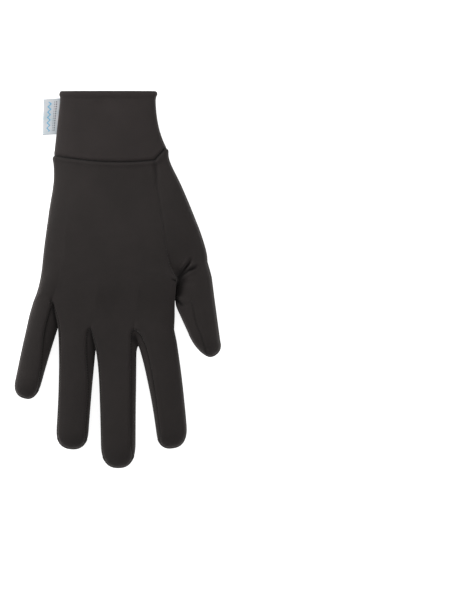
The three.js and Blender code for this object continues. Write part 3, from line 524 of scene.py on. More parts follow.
def build_sheet(glove, built, is_upper):
    digits, thumb, sides, thumb_sides, pinky_line, thumb_line, edge = built
    level = 0 if is_upper else -1
    seam = SHEETS[level]
    piece = "back_panel" if is_upper else "palm_panel"
    knuckles = [
        digit.sheet(is_upper, *sides[n], DIGIT_COLUMNS) for n, digit in enumerate(digits)
    ]
    thumb_rows = thumb.sheet(is_upper, *thumb_sides, THUMB_COLUMNS)
    knuckle_row = np.concatenate([k[0] if n == 0 else k[0][1:] for n, k in enumerate(knuckles)])

    per = len(DIGIT_COLUMNS) - 1
    even = np.arange(4 * per + 1) / (4 * per)
    own = np.concatenate([DIGIT_COLUMNS[:-1]] * 4 + [[1.0]])
    finger = np.minimum(3, np.arange(4 * per + 1) // per)
    # Columns crowd towards the side seams only.
    crowded = ((finger == 0) & (own < 0.5)) | ((finger == 3) & (own > 0.5)) | (even == 1)
    column = np.where(crowded, (finger + np.where(even == 1, 1.0, own)) / 4, even)

    gap_top = edge[level, 0, :2]
    path = [plan(*row) for row in THUMB_SEAM[seam]] + [gap_top]
    seam_line = curve_through(path)(ABOVE_GAP)[0]
    left = pinky_line[level, :, :2]
    right = np.vstack([seam_line[:-1], edge[level, :, :2]])
    outer = thumb_line[level, :, :2]
    outer_rows = np.vstack([outer, np.repeat(outer[-1:], len(HAND_ROWS) - len(outer), 0)])

    t = HAND_ROWS
    wrist_share = column * (1 - WRIST_CROWDING * (1 - column))
    sag = WRIST_SAG[seam] * 4 * wrist_share * (1 - wrist_share)
    wrist = lerp(left[0], right[0], wrist_share[:, None]) - np.outer(sag, [0, 1])
    s = lerp(wrist_share[None], column[None], t[:, None])
    at = patch(wrist, knuckle_row[:, :2], left, right, s, t)

    wide_share, own_share = share_between(at, left, outer_rows), share_between(at, left, right)
    below = smooth((t - THUMB_GAP_SHARE) / (1 - THUMB_GAP_SHARE))[:, None]
    blend = smooth((t / THUMB_GAP_SHARE - 1 + GAP_BLEND) / GAP_BLEND)[:, None]
    own_rise = dome(own_share, SIDE_ANGLE, lerp(GAP_ANGLE, SIDE_ANGLE, below), PALM_ROUNDNESS)
    wide_rise = dome(wide_share, SIDE_ANGLE, SIDE_ANGLE, PALM_ROUNDNESS)
    hand_rise = lerp(wide_rise, own_rise, blend)
    starts = np.array([digit.edge_angle(-1)[0] for digit in digits])[finger]
    ends = np.array([digit.edge_angle(1)[0] for digit in digits])[finger]
    finger_rise = dome(np.where(even == 1, 1.0, own), starts, ends, FINGER_ROUNDNESS)
    knuckle_blend = smooth((t - 1 + KNUCKLE_BLEND) / KNUCKLE_BLEND)[:, None]
    rise = lerp(hand_rise, finger_rise[None], knuckle_blend)
    hand = grid(at, sheet_height(is_upper, rise, hand_crown(t)[:, None]))
    hand[:, 0] = pinky_line[level]
    hand[GAP_ROW:, -1] = edge[level]
    hand[-1] = knuckle_row

    rows = slice(0, GAP_ROW + 1)
    base_s = np.sin(np.pi / 2 * THUMB_COLUMNS)
    base_top = lerp(right[0], outer[0], base_s[:, None])
    base_shares = np.broadcast_to(base_s, (GAP_ROW + 1, len(base_s)))
    base_at = patch(base_top, thumb_rows[0][:, :2], right[rows], outer, base_shares, ABOVE_GAP)
    base_wide = share_between(base_at, left[rows], outer)
    base_own = share_between(base_at, right[rows], outer)
    base_rise = lerp(
        dome(base_wide, SIDE_ANGLE, SIDE_ANGLE, PALM_ROUNDNESS),
        dome(base_own, GAP_ANGLE, SIDE_ANGLE, FINGER_ROUNDNESS), blend[rows],
    )
    crown = lerp(hand_crown(t)[rows, None], THUMB_CROWN, blend[rows])
    base = grid(base_at, sheet_height(is_upper, base_rise, crown))
    base[:, 0] = hand[rows, -1]
    base[:, -1] = thumb_line[level]
    base[-1] = thumb_rows[0]

    first_row = (0, slice(None))
    lines = {f"wrist_{seam}": first_row, f"thumb_seam_{seam}": (rows, -1)}
    glove.add(hand, piece, not is_upper, lines)
    for places in knuckles:
        glove.add(places, piece, not is_upper)
    glove.add(base, "thumb_piece", not is_upper, {f"wrist_thumb_{seam}": first_row})
    glove.add(thumb_rows, "thumb_piece", not is_upper)


def add_side(glove, places, side, labels, name):
    """A side between the sheets, whose cloth is measured down from the upper sheet."""
    rows = places.transpose(1, 0, 2)
    down = rows[:, :1, 2] - rows[..., 2]
    cloth = np.stack([rows[:, :1, 0] + side * down, rows[..., 1]], -1)
    every = slice(None)
    lines = {f"{name}_upper": (every, 0), f"{name}_lower": (every, -1), f"{name}_start": (0, every)}
    glove.add(rows, labels, side < 0, lines, cloth)


def build_surface():
    glove = Glove()
    built = build_sides()
    digits, thumb, sides, thumb_sides, pinky_line, thumb_line, edge = built
    build_sheet(glove, built, True)
    build_sheet(glove, built, False)
    halves = np.where(np.arange(SIDE_LEVELS - 1) < (SIDE_LEVELS - 1) / 2, "back_panel", "palm_panel")

    def strip_labels(digit, name):
        on_strip = np.concatenate([np.zeros(len(digit.shaft)), digit.turn]) < STRIP_TURN
        return np.where(on_strip[:-1, None], name, halves[None])

    add_side(glove, pinky_line, -1, halves, "pinky_line")
    add_side(glove, edge, 1, halves, "hand_edge")
    add_side(glove, thumb_line, 1, "thumb_piece", "thumb_line")
    add_side(glove, thumb_sides[0], -1, "thumb_piece", "thumb_left")
    add_side(glove, thumb_sides[1], 1, "thumb_piece", "thumb_right")
    for n, (digit, (left, right)) in enumerate(zip(digits, sides)):
        name = DIGITS[n]["name"]
        before = halves if n == 0 else strip_labels(digit, STRIPS[n - 1])
        after = halves if n == len(digits) - 1 else strip_labels(digit, STRIPS[n])
        add_side(glove, left, -1, before, f"{name}_left")
        add_side(glove, right, 1, after, f"{name}_right")
    glove.weld()
    return glove


def point_normals(place, quads):
    """Outward directions, weighted by area."""
    p = place[quads]
    cross = np.cross(p[:, 2] - p[:, 0], p[:, 3] - p[:, 1])
    return unit(np.stack([
        np.bincount(quads.ravel(), np.repeat(cross[:, k], 4), len(place)) for k in range(3)
    ], -1))


def edges_of(quads):
    """The faces' edges, each in its face's direction, without those whose ends coincide."""
    edges = np.vstack([quads[:, [k, (k + 1) % 4]] for k in range(4)])
    return edges[edges[:, 0] != edges[:, 1]]


def border_edges(quads):
    """The edges that only one face has."""
    edges = edges_of(quads)
    size = quads.max() + 1
    return edges[~np.isin(edges @ (size, 1), edges @ (1, size))]


def even_out(values, pairs, strength, rounds):
    """Moves each point's values towards its neighbours' mean, by its own strength."""
    a, b = pairs.T
    count = np.bincount(pairs.ravel(), minlength=len(values))
    for _ in range(rounds):
        mean = np.stack([
            np.bincount(a, column[b], len(values)) + np.bincount(b, column[a], len(values))
            for column in values.T
        ], -1) / count[:, None]
        values = values + (mean - values) * strength[:, None]
    return values


def distance_to(targets, places):
    """Distance of each place from the nearest target, and which target that is."""
    tree = KDTree(len(targets))
    for n, p in enumerate(targets):
        tree.insert(p, n)
    tree.balance()
    found = [tree.find(p) for p in places]
    return np.array([f[2] for f in found]), np.array([f[1] for f in found])


def over_floor(places):
    places[..., 2] = np.maximum(places[..., 2], 0)
    return places


def face_lists(quads):
    """Quads as lists of corners, without the corners that coincide at a fingertip."""
    whole = (quads != np.roll(quads, -1, axis=1)).all(axis=1)
    faces = quads[whole].tolist()
    for quad in quads[~whole].tolist():
        kept = [c for n, c in enumerate(quad) if c != quad[n - 1]]
        if len(set(kept)) > 2:
            faces.append(kept)
    return faces


def wall_faces(quads):
    """A closed wall: the faces, the same faces inside out on a second set of points, and a rim."""
    border = border_edges(quads)
    count = quads.max() + 1
    rim = np.hstack([border[:, ::-1], border + count])
    return face_lists(quads) + face_lists(quads[:, ::-1] + count) + face_lists(rim)


def new_object(name, data, place=(0.0, 0.0, 0.0)):
    made = bpy.data.objects.new(name, data)
    made.location = place
    bpy.context.scene.collection.objects.link(made)
    return made


def make_mesh(name, places, faces, material, cloth=None):
    """A piece in the surface's millimetres, which becomes an object in metres on the root."""
    mesh = bpy.data.meshes.new(name)
    mesh.from_pydata(((places + SHIFT) * MM).tolist(), [], faces)
    if cloth is not None:
        layer = mesh.attributes.new("cloth", "FLOAT_VECTOR", "POINT")
        layer.data.foreach_set("vector", cloth.astype(np.float32).ravel())
    mesh.polygons.foreach_set("use_smooth", [True] * len(mesh.polygons))
    mesh.validate()
    mesh.materials.append(material)
    piece = new_object(name, mesh)
    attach(piece, "root")
    return piece


# Relief of the cloth. Each swell is its height, how far off its line it lies, and its radius.
SEAM_DEPTH = 0.85
SEAM_RADIUS = 0.7
ALLOWANCE = (0.22, 2.1, 1.1)
PUCKER = 0.09
PUCKER_LENGTH = 4.2
PUCKER_REACH = 3.0
WRIST_ROLL = (0.24, 1.2, 1.2)
WRIST_STEP = 1.15
WRIST_STEP_RISES = 0.7
WRIST_STEP_FALLS = 5.5
FULLNESS = 0.25
SIDE_RELIEF = 0.35  # share of the relief that is left where the cloth stands upright
LEVEL_FROM = 0.7  # upward part of the normal from which it is whole
FLOOR_RELIEF = 0.35  # share of it that is left on the floor
FLOOR_REACH = 1.5  # height from which it is whole
UNDULATION = 0.28
UNDULATION_SIZE = 26.0
UNDULATION_SLICE = 3.7
SMOOTHING = 0.5
EVEN_FROM_SEAM = 9.0  # distance from a seam by which heights are evened out in full
SEAM_HOLDS = 1.5  # distance over which a seam holds the cloth in its place
SEAMS_START = 5.0  # distance from the wrist seam by which the other seams are full
SEAM_SHADE_RADIUS = 0.5
# How deep the other seams lie, as shares of SEAM_DEPTH, which is the wrist seam's
THUMB_SEAM_TOP = 0.2
THUMB_SEAM_BELOW = 0.07
THUMB_SEAM_FADES = 26.0
STRIP_SEAM = 0.34
STRIP_END = 0.2
STRIP_SEAM_FADES = 3.0
SIDE_SEAM = 0.22

CLOSING_SEAM = (
    (0.658, 1.15), (0.614, 1.039), (0.585, 0.98), (0.563, 0.909), (0.548, 0.856), (0.512, 0.797),
)
# Folds and the thumb's closing seam, each on one part of the glove: its depth and width in
# millimetres, its ridge as a share of the depth, how much painted shade darkens its bottom,
# where its fading starts, and its line of (across, along) points, which starts deep and runs out
FOLDS = (
    ("thumb", 2.0, 0.95, 0.3, 0.9, 0.45, ((0.447, 0.69), (0.478, 0.658), (0.517, 0.618), (0.552, 0.562))),
    ("thumb", 1.9, 0.85, 0.35, 1.0, 0.55, ((0.47, 0.684), (0.515, 0.656), (0.6, 0.617))),
    ("hand", 1.0, 0.55, 0.2, 0.9, 0.5, ((0.442, 0.722), (0.393, 0.7))),
    ("thumb", 1.6, 1.3, 0.3, 0.85, 0.6, ((0.41, 0.812), (0.45, 0.838), (0.494, 0.875))),
    ("thumb", 2.6, 4.2, 0.0, 0.7, 0.85, ((0.465, 0.672), (0.443, 0.73), (0.415, 0.812))),
    ("thumb", 0.8, 1.6, 0.2, 0.15, 0.0, ((0.48, 0.715), (0.53, 0.722), (0.58, 0.735))),
    ("thumb", 0.35, 0.55, 0.5, 0.4, 0.75, CLOSING_SEAM),
    ("both", 0.45, 1.5, 0.2, 0.3, 0.1, ((0.276, 0.02), (0.286, 0.09), (0.296, 0.19))),
    # The strips' entries have no depth: they only paint shade into the pockets below the gaps' arches
    ("strips", 0.0, 1.2, 0.0, 0.9, 0.4, ((-0.473, 0.874), (-0.441, 0.998))),
    ("strips", 0.0, 1.2, 0.0, 0.9, 0.4, ((-0.191, 1.023), (-0.159, 1.118))),
    ("strips", 0.0, 2.1, 0.0, 0.95, 0.6, ((0.098, 1.05), (0.125, 1.058), (0.149, 1.063))),
)
FOLD_RIDGE_AT = 2.1  # in widths of the fold
FOLD_SHADE_WIDTH = 0.8
FOLD_DEEPEST = 3.2
FOLD_KEEPS = 4.0  # height over the side's middle below which folds grow shallow
LINE_POINTS = 60


def swell(distance, height, off, radius):
    return height * bell(distance - off, radius)


def seam_relief(distance, along, strength=1.0):
    """How far the cloth stands out near a seam: a groove, a low ridge and slight puckers."""
    groove = -SEAM_DEPTH * bell(distance, SEAM_RADIUS)
    pucker = PUCKER * np.sin(along * (2 * np.pi / PUCKER_LENGTH)) * np.exp(-distance / PUCKER_REACH)
    return (groove + swell(distance, *ALLOWANCE) + pucker) * strength


def level_share(upward):
    """The share of its relief that cloth keeps, by the upward part of its normal."""
    return lerp(SIDE_RELIEF, 1, smooth(upward / LEVEL_FROM))


def along_line(path, place):
    """Distance of each place from a line in plan, and the share of the line where it lies."""
    line = curve_through([plan(*point) for point in path])(np.linspace(0, 1, LINE_POINTS))[0]
    run = run_along(line)
    away = np.full(len(place), np.inf)
    share = np.zeros(len(place))
    for start, step, at, end in zip(line, np.diff(line, axis=0), run, run[1:]):
        t = np.clip(((place[:, :2] - start) @ step) / (step @ step), 0, 1)
        reach = np.linalg.norm(place[:, :2] - start - t[:, None] * step, axis=1)
        share = np.where(reach < away, lerp(at, end, t) / run[-1], share)
        away = np.minimum(reach, away)
    return away, share


def fold_relief(place, on_thumb, on_strip):
    """How deep the folds lie and the painted shade of their bottoms, on the upper side and the strips."""
    deep, shade = np.zeros(len(place)), np.zeros(len(place))
    above = place[:, 2] > SEAM_HEIGHT
    parts = {"thumb": above & on_thumb, "hand": above & ~on_thumb, "both": above, "strips": on_strip}
    for part, depth, width, ridge, painted_shade, fades, path in FOLDS:
        here = parts[part]
        away, share = along_line(path, place[here])
        fading = 1 - smooth((share - fades) / (1 - fades))
        form = bell(away, width) - ridge * bell(away - FOLD_RIDGE_AT * width, width)
        deep[here] += depth * fading * form
        # Painted shade: the colour darkens along the fold's bottom
        dark = painted_shade * fading * bell(away, FOLD_SHADE_WIDTH * width)
        shade[here] = np.maximum(shade[here], dark)
    deep = FOLD_DEEPEST * np.tanh(deep / FOLD_DEEPEST)
    return deep * smooth((place[:, 2] - SEAM_HEIGHT) / FOLD_KEEPS), shade


def undulation(place):
    """Slow unevenness of cloth that lies with a little air in it."""
    spots = place[:, :2] / UNDULATION_SIZE
    return UNDULATION * np.array([noise.noise(Vector((x, y, UNDULATION_SLICE))) for x, y in spots])


def cloth_wall(place, normals, quads, cloth_of_corner, shade, taken_in):
    """A closed wall under some faces of the surface: places, faces and cloth coordinates."""
    used, local = np.unique(quads, return_inverse=True)
    local = local.reshape(-1, 4)
    border = border_edges(local)
    p, n = place[used], normals[used]
    way = p[border[:, 1]] - p[border[:, 0]]
    push = np.zeros_like(p)
    for end in border.T:
        np.add.at(push, end, unit(np.cross(n[end], way)))
    outer = over_floor(p + unit(push) * taken_in[used, None])
    inner = over_floor(outer - n * CLOTH)
    cloth = np.zeros_like(p)
    cloth[local.ravel(), :2] = cloth_of_corner.reshape(-1, 2)
    cloth[:, 2] = shade[used]
    return np.vstack([outer, inner]), wall_faces(local), np.vstack([cloth, cloth])


CLOTH_PIECES = ["back_panel", "palm_panel", "thumb_piece"] + STRIPS


def seam_strengths(glove):
    """Which points lie on a seam, and how deep that seam is."""
    strength = np.zeros(len(glove.place))
    for name in CLOTH_PIECES:
        border = np.unique(border_edges(glove.quads[glove.label == name]))
        depth = STRIP_SEAM if name in STRIPS else SIDE_SEAM
        strength[border] = np.maximum(strength[border], depth)
    near_middle = smooth(np.abs(glove.place[:, 2] - SEAM_HEIGHT) / STRIP_SEAM_FADES)
    strip = strength == STRIP_SEAM
    strength[strip] = lerp(STRIP_END, STRIP_SEAM, near_middle[strip])
    for sheet in SHEETS:
        line = glove.lines[f"thumb_seam_{sheet}"]
        fade = smooth(-glove.place[line, 1] / THUMB_SEAM_FADES)
        strength[line] = lerp(THUMB_SEAM_TOP, THUMB_SEAM_BELOW, fade)
    return strength


def seam_gaps(glove):
    """How wide the gap at each point's seam is."""
    pieces = [np.unique(glove.quads[glove.label == name]) for name in CLOTH_PIECES]
    shared = np.bincount(np.concatenate(pieces), minlength=len(glove.place))
    corners = glove.place[shared > 2]
    return SEAM_GAP * smooth(distance_to(corners, glove.place)[0] / CORNER_CLOSED)


def wrist_ring(glove):
    """The points of the wrist seam in order, round the upper side first."""
    lines = glove.lines
    return np.concatenate([
        lines["wrist_upper"], lines["wrist_thumb_upper"][1:], lines["thumb_line_start"][1:-1],
        lines["wrist_thumb_lower"][:0:-1], lines["wrist_lower"][::-1],
        lines["pinky_line_start"][1:-1][::-1],
    ])


def shape_glove(glove):
    """Rounds the surface, works its relief and returns its places, normals and painted shade."""
    place, quads = glove.place, glove.quads
    pairs = np.unique(np.sort(edges_of(quads), axis=1), axis=0)
    strength = seam_strengths(glove)
    ring = wrist_ring(glove)
    strength[ring] = 0
    on_seam = np.flatnonzero(strength)
    distance, nearest = distance_to(place[on_seam], place)
    strength = strength[on_seam[nearest]]
    from_ring = distance_to(place[ring], place)[0]
    free = smooth(np.minimum(distance, from_ring) / EVEN_FROM_SEAM)
    heights = even_out(place[:, 2:], pairs, SMOOTHING * free, Z_SMOOTHING)
    place = np.concatenate([place[:, :2], heights], 1)
    loose = SMOOTHING * np.where(strength <= SIDE_SEAM, 1.0, smooth(distance / SEAM_HOLDS))
    place = even_out(place, pairs, loose * smooth(from_ring / SEAM_HOLDS), BEND_SMOOTHING)
    glove.cloth_of_corner = glove.cloth_of_corner + (place - glove.place)[:, :2][quads]
    normals = point_normals(place, quads)
    starts = [f"{sizes['name']}_right_start" for sizes in DIGITS[:-1]] + ["thumb_left_start"]
    normals[np.concatenate([glove.lines[name] for name in starts]), 0] = 0
    normals = unit(normals)

    along = place[:, 0] + place[:, 1]
    rests = smooth(place[:, 2] / FLOOR_REACH)
    upward = np.abs(normals[:, 2])
    on_thumb, on_strip = (
        np.isin(np.arange(len(place)), quads[np.isin(glove.label, names)])
        for names in (["thumb_piece"], STRIPS)
    )
    fold, shade = fold_relief(place, on_thumb, on_strip)
    out = seam_relief(distance, along, strength) * smooth(from_ring / SEAMS_START)
    out += seam_relief(from_ring, along) + swell(from_ring, *WRIST_ROLL)
    out *= lerp(FLOOR_RELIEF, 1, rests) * level_share(upward)
    step = (1 - np.exp(-from_ring / WRIST_STEP_RISES)) * np.exp(-from_ring / WRIST_STEP_FALLS)
    out += (WRIST_STEP * step + FULLNESS * (strength <= SIDE_SEAM)) * (1 - upward**2)
    out += undulation(place) * rests
    place = place + normals * out[:, None]
    place[:, 2] -= fold
    over_floor(place)
    # Painted shade: the colour darkens along the wrist seam and the other seams, in their grooves
    painted_seam_shade = [bell(from_ring, SEAM_SHADE_RADIUS), strength * bell(distance, SEAM_SHADE_RADIUS)]
    return place, point_normals(place, quads), np.maximum.reduce([shade, *painted_seam_shade])


def cuff_sides(share):
    wrist_left, wrist_right = plan(*PINKY_SIDE[0])[0], plan(*THUMB_SIDE[0])[0]
    middle = CUFF_CENTRE_ACROSS * HAND_WIDTH
    half = CUFF_WIDTH / 2 - HEM_FLARE
    flare = HEM_FLARE * smooth((share - FLARE_START) / (1 - FLARE_START))
    left = lerp(wrist_left, middle - half, share) - flare
    right = lerp(middle + half, wrist_right, (1 - share) ** CUFF_HOLLOW) + flare
    return left, right


HEM_Y = CUFF_LENGTH - CUFF_CLOTH / 2
HEM_ROLL = (0.4, 1.2, 1.5)
HEM_GROOVE = 0.12
HEM_GROOVE_AT = 3.6
HEM_GROOVE_RADIUS = 0.8
HEM_SHADE = 0.08
CUFF_DRAWN = 0.35
CUFF_DRAWN_OVER = 2.6
CUFF_SIDE_SEAM = 0.5
ALLOWANCE_LENGTH = 3.2
ALLOWANCE_DEPTHS = (2.9, 2.1)
FOLD_STEPS = 10


def way_round(loop):
    """Unit direction along a loop round the cuff, in X and Z."""
    return unit((np.roll(loop, -1, axis=0) - np.roll(loop, 1, axis=0))[:, [0, 2]])


def drawn_in(loop, depth):
    """A loop round the cuff drawn inwards, level with the cuff's end."""
    way = way_round(loop)
    inward = np.stack([way[:, 1], np.zeros(len(way)), -way[:, 0]], -1)
    return loop + inward * np.reshape(depth, (-1, 1))


def cuff_band(glove, material):
    points = glove.place[wrist_ring(glove)]
    left, right = cuff_sides(0.0)
    x_share = (points[:, 0] - left) / (right - left)
    lift = points[:, 2] - SEAM_HEIGHT

    def outer_loop(share):
        low, high = cuff_sides(share)
        flatter = lerp(1, (CUFF_THICKNESS - SEAM_HEIGHT) / WRIST_CROWN, smooth(share))
        y = lerp(points[:, 1] + SEAM_GAP / 2, HEM_Y, share)
        z = SEAM_HEIGHT + lift * np.where(lift > 0, flatter, 1.0)
        return np.stack([lerp(low, high, x_share), y, z], -1)

    outer, inner, shades = [], [], []
    for share in stations(CUFF_LENGTH):
        loop = outer_loop(share)
        from_wrist, to_hem = share * HEM_Y, (1 - share) * HEM_Y
        hem_line = bell(to_hem - HEM_GROOVE_AT, HEM_GROOVE_RADIUS)
        out = seam_relief(from_wrist, loop[:, 0]) + swell(to_hem, *HEM_ROLL)
        out -= HEM_GROOVE * hem_line + CUFF_DRAWN * bell(from_wrist, CUFF_DRAWN_OVER)
        # Painted shade along the wrist seam and in the groove below the hem roll
        shades.append(max(bell(from_wrist, SEAM_SHADE_RADIUS), HEM_SHADE * hem_line))
        from_side = np.hypot(loop[:, 0] - cuff_sides(share)[0], loop[:, 2] - SEAM_HEIGHT)
        out -= CUFF_SIDE_SEAM * SEAM_DEPTH * bell(from_side, SEAM_RADIUS)
        out += undulation(loop) * math.sin(math.pi * share)
        out *= lerp(FLOOR_RELIEF, 1, smooth(loop[:, 2] / FLOOR_REACH))
        upward = np.abs(way_round(loop)[:, 0])
        if to_hem >= HEM_GROOVE_AT:
            out *= level_share(upward)
        out += FULLNESS * (1 - upward**2)
        outer.append(over_floor(drawn_in(loop, -out)))
        inner.append(drawn_in(loop, CUFF_CLOTH))
    # The cuff's seam allowance reaches under the hand's cloth.
    lip = [drawn_in(outer_loop(0.0), depth) - (0, ALLOWANCE_LENGTH, 0) for depth in ALLOWANCE_DEPTHS]
    folds = []
    for turn in np.linspace(0, math.pi, FOLD_STEPS + 1)[1:-1]:
        loop = lerp(outer[-1], inner[-1], (1 - math.cos(turn)) / 2)
        folds.append(loop + (0, CUFF_CLOTH / 2 * math.sin(turn), 0))
    loops = np.array(outer + folds + inner[::-1] + lip)
    near = np.arange(loops[..., 0].size).reshape(loops.shape[:2])
    far = np.roll(near, -1, axis=0)
    quads = np.stack([near, np.roll(near, -1, 1), np.roll(far, -1, 1), far], -1).reshape(-1, 4)
    cloth = np.zeros_like(loops)
    cloth[..., 0] = run_along(points)
    cloth[..., 1] = loops[..., 1]
    cloth[:len(shades), :, 2] = np.array(shades)[:, None]
    piece = make_mesh("cuff", loops.reshape(-1, 3), quads.tolist(), material, cloth.reshape(-1, 3))
    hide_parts("cuff_band")


# Label: a folded ribbon whose two layers part a little at the seam
LABEL_ROWS = 46
LABEL_COLUMNS = 20
LABEL_TURN_STEPS = 9
LABEL_TUCKED = 0.3
LABEL_REACHES = (1.12, 0.93)  # shares of its reach at its two ends
LABEL_CURL = 0.35
LABEL_CURL_TURNS = (0.1, 1.25)  # half turns of its wave at its two ends
LABEL_FOLD = 0.35


def label_tab(material):
    """The ribbon goes out of the seam in its upper layer, round its fold and back below."""
    wrist_y = plan(*PINKY_SIDE[0])[1]
    turn = np.linspace(0, np.pi, LABEL_TURN_STEPS)
    flat = np.linspace(0, 1, LABEL_COLUMNS) * (LABEL_REACH - LABEL_FOLD)
    out = np.concatenate([flat[:-1], flat[-1] + LABEL_FOLD * np.sin(turn), flat[-2::-1]])
    upper = np.ones(LABEL_COLUMNS - 1)
    layer = np.concatenate([upper, np.cos(turn), -upper])
    share = out / LABEL_REACH
    rows = []
    for row in np.linspace(0, 1, LABEL_ROWS):
        y = CUFF_LENGTH - LABEL_FROM_HEM - LABEL_LENGTH * row
        seam_x = cuff_sides((y - wrist_y) / (HEM_Y - wrist_y))[0] + LABEL_TUCKED
        x = seam_x - out * (1 + LABEL_TUCKED / LABEL_REACH) * lerp(*LABEL_REACHES, row)
        curl = LABEL_CURL * math.sin(math.pi * lerp(*LABEL_CURL_TURNS, row))
        z = SEAM_HEIGHT + (curl - LABEL_DROOP) * share**2 + layer * LABEL_FOLD
        rows.append(np.stack([x, y - LABEL_SLANT * share, z], -1))
    middle = np.array(rows)
    normal = unit(np.cross(np.gradient(middle, axis=0), np.gradient(middle, axis=1)))
    skins = [middle + normal * half for half in (LABEL_CLOTH / 2, -LABEL_CLOTH / 2)]
    quads = grid_quads(np.arange(middle[..., 0].size).reshape(middle.shape[:2]))
    cloth = np.zeros_like(middle)
    cloth[..., 0] = run_along(np.stack([out, layer * LABEL_FOLD], -1))
    cloth[..., 1] = np.linspace(0, LABEL_LENGTH, LABEL_ROWS)[:, None]
    piece = make_mesh("label", np.reshape(skins, (-1, 3)), wall_faces(quads.reshape(-1, 4)), material,
                      np.reshape([cloth, cloth], (-1, 3)))
    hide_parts("label_tab")


# Stitches: threads that cross a seam's groove
STITCH_SPACING = 1.7
STITCH_HALF = 0.5
THREAD = 0.1
THREAD_SIDES = 5
STITCH_SLANT = 0.3
STITCH_RINGS = ((-1, 0.3), (-0.7, 1.0), (0, 1.15), (0.7, 1.0), (1, 0.3))  # share, thickness
UNSEWN_ROWS = 15  # at the end of a fingertip
CLOSING_DEPTH = 0.1
CLOSING_SEWN = 0.9


def stitch_row(places, normals, depth):
    """Small threads across one seam line: rings of points for each of them."""
    run = run_along(places)
    count = int(run[-1] / STITCH_SPACING)
    at = (np.arange(count) + 0.5) * run[-1] / count
    centre, up = between(at, run, places), unit(between(at, run, normals))
    way = unit(between(at + THREAD, run, places) - between(at - THREAD, run, places))
    across = unit(np.cross(way, up))
    turn = (np.arange(THREAD_SIDES) * 2 * np.pi / THREAD_SIDES)[None, :, None]
    spoke = np.cos(turn) * way[:, None] + np.sin(turn) * up[:, None]
    groove = depth * level_share(np.abs(up[:, 2:]))
    rings = []
    for share, size in STITCH_RINGS:
        reach = share * STITCH_HALF
        height = groove * (1 - bell(reach, SEAM_RADIUS)) + THREAD * (1 - 2 * share * share)
        middle = centre + across * reach + way * share * STITCH_SLANT + up * height
        rings.append(over_floor(middle[:, None] + spoke * THREAD * size))
    return np.stack(rings, 1)


def sew(glove, place, normals, material):
    """Stitches along every seam of the hand and at the wrist, as one piece."""
    ring = wrist_ring(glove)
    rows = [(np.append(ring, ring[0]), SEAM_DEPTH)]
    for sheet in SHEETS:
        rows.append((glove.lines[f"thumb_seam_{sheet}"], SEAM_DEPTH * THUMB_SEAM_BELOW))
    for sizes in DIGITS:
        for side, name in ((-1, "left"), (1, "right")):
            if sizes["outer"] != side:
                for sheet in SHEETS:
                    line = glove.lines[f"{sizes['name']}_{name}_{sheet}"]
                    rows.append((line[:-UNSEWN_ROWS], SEAM_DEPTH * STRIP_SEAM))
    upper = np.unique(glove.quads[glove.label == "thumb_piece"])
    upper = upper[place[upper, 2] > SEAM_HEIGHT]
    shares = np.linspace(0, CLOSING_SEWN, LINE_POINTS)
    closing = curve_through([plan(*point) for point in CLOSING_SEAM])(shares)[0]
    nearest = distance_to(place[upper] * (1, 1, 0), grid(closing, 0))[1]
    rows.append((upper[nearest], CLOSING_DEPTH))
    points, faces, count = [], [], 0
    for line, depth in rows:
        line = line[np.append(True, np.diff(line) != 0)]
        rings = stitch_row(place[line], normals[line], depth)
        index = count + np.arange(rings[..., 0].size).reshape(rings.shape[:3])
        count += index.size
        a, b = index[:, :-1], index[:, 1:]
        walls = np.stack([a, np.roll(a, -1, 2), np.roll(b, -1, 2), b], -1)
        faces += walls.reshape(-1, 4).tolist() + index[:, 0, ::-1].tolist() + index[:, -1].tolist()
        points.append(rings.reshape(-1, 3))
    piece = make_mesh("stitches", np.vstack(points), faces, material)


class Shading:
    """A material and the nodes that feed its shader."""

    def __init__(self, name):
        self.material = bpy.data.materials.new(name)
        self.material.use_nodes = True
        self.tree = self.material.node_tree
        self.where = self.node("TexCoord").outputs["Object"]

    def connect(self, made, inputs):
        for key, value in inputs.items():
            if isinstance(value, bpy.types.NodeSocket):
                self.tree.links.new(value, made.inputs[key])
            else:
                made.inputs[key].default_value = value

    def node(self, kind, inputs=None, **settings):
        made = self.tree.nodes.new(f"ShaderNode{kind}")
        for key, value in settings.items():
            setattr(made, key, value)
        self.connect(made, inputs or {})
        return made

    def calc(self, operation, *values):
        return self.node("Math", dict(enumerate(values)), operation=operation).outputs[0]

    def mix(self, share, a, b):
        """Colour b over colour a. Sockets 0, 6 and 7 are the share and the two colours."""
        return self.node("Mix", {0: share, 6: a, 7: b}, data_type="RGBA").outputs[2]

    def noise(self, scale, detail):
        inputs = {"Vector": self.where, "Scale": scale, "Detail": detail}
        return self.node("TexNoise", inputs).outputs["Fac"]

    def ramp(self, share, dark, light, start=0.0, end=1.0):
        made = self.node("ValToRGB", {"Fac": share})
        for stop, at, colour in zip(made.color_ramp.elements, (start, end), (dark, light)):
            stop.position = at
            stop.color = (*colour, 1)
        return made.outputs["Color"]

    def scaled(self, value, low, high, to_low, to_high):
        return self.node("MapRange", {
            "Value": value, "From Min": low, "From Max": high, "To Min": to_low, "To Max": to_high,
        }).outputs[0]

    def band(self, value, middle, half, soft):
        """1 within half of middle, 0 outside, with a soft edge."""
        away = self.calc("ABSOLUTE", self.calc("SUBTRACT", value, middle))
        return self.scaled(away, half - soft, half + soft, 1.0, 0.0)

    def bump(self, height, strength, distance):
        inputs = {"Height": height, "Strength": strength, "Distance": distance}
        return self.node("Bump", inputs).outputs["Normal"]

    def cloth(self):
        """How far across and along its cloth a point lies, in millimetres, and how much painted shade it
        takes.
        """
        cloth = self.node("Attribute", attribute_name="cloth").outputs["Vector"]
        return self.node("SeparateXYZ", {"Vector": cloth}).outputs

    def done(self, inputs):
        self.connect(self.tree.nodes["Principled BSDF"], inputs)
        return self.material


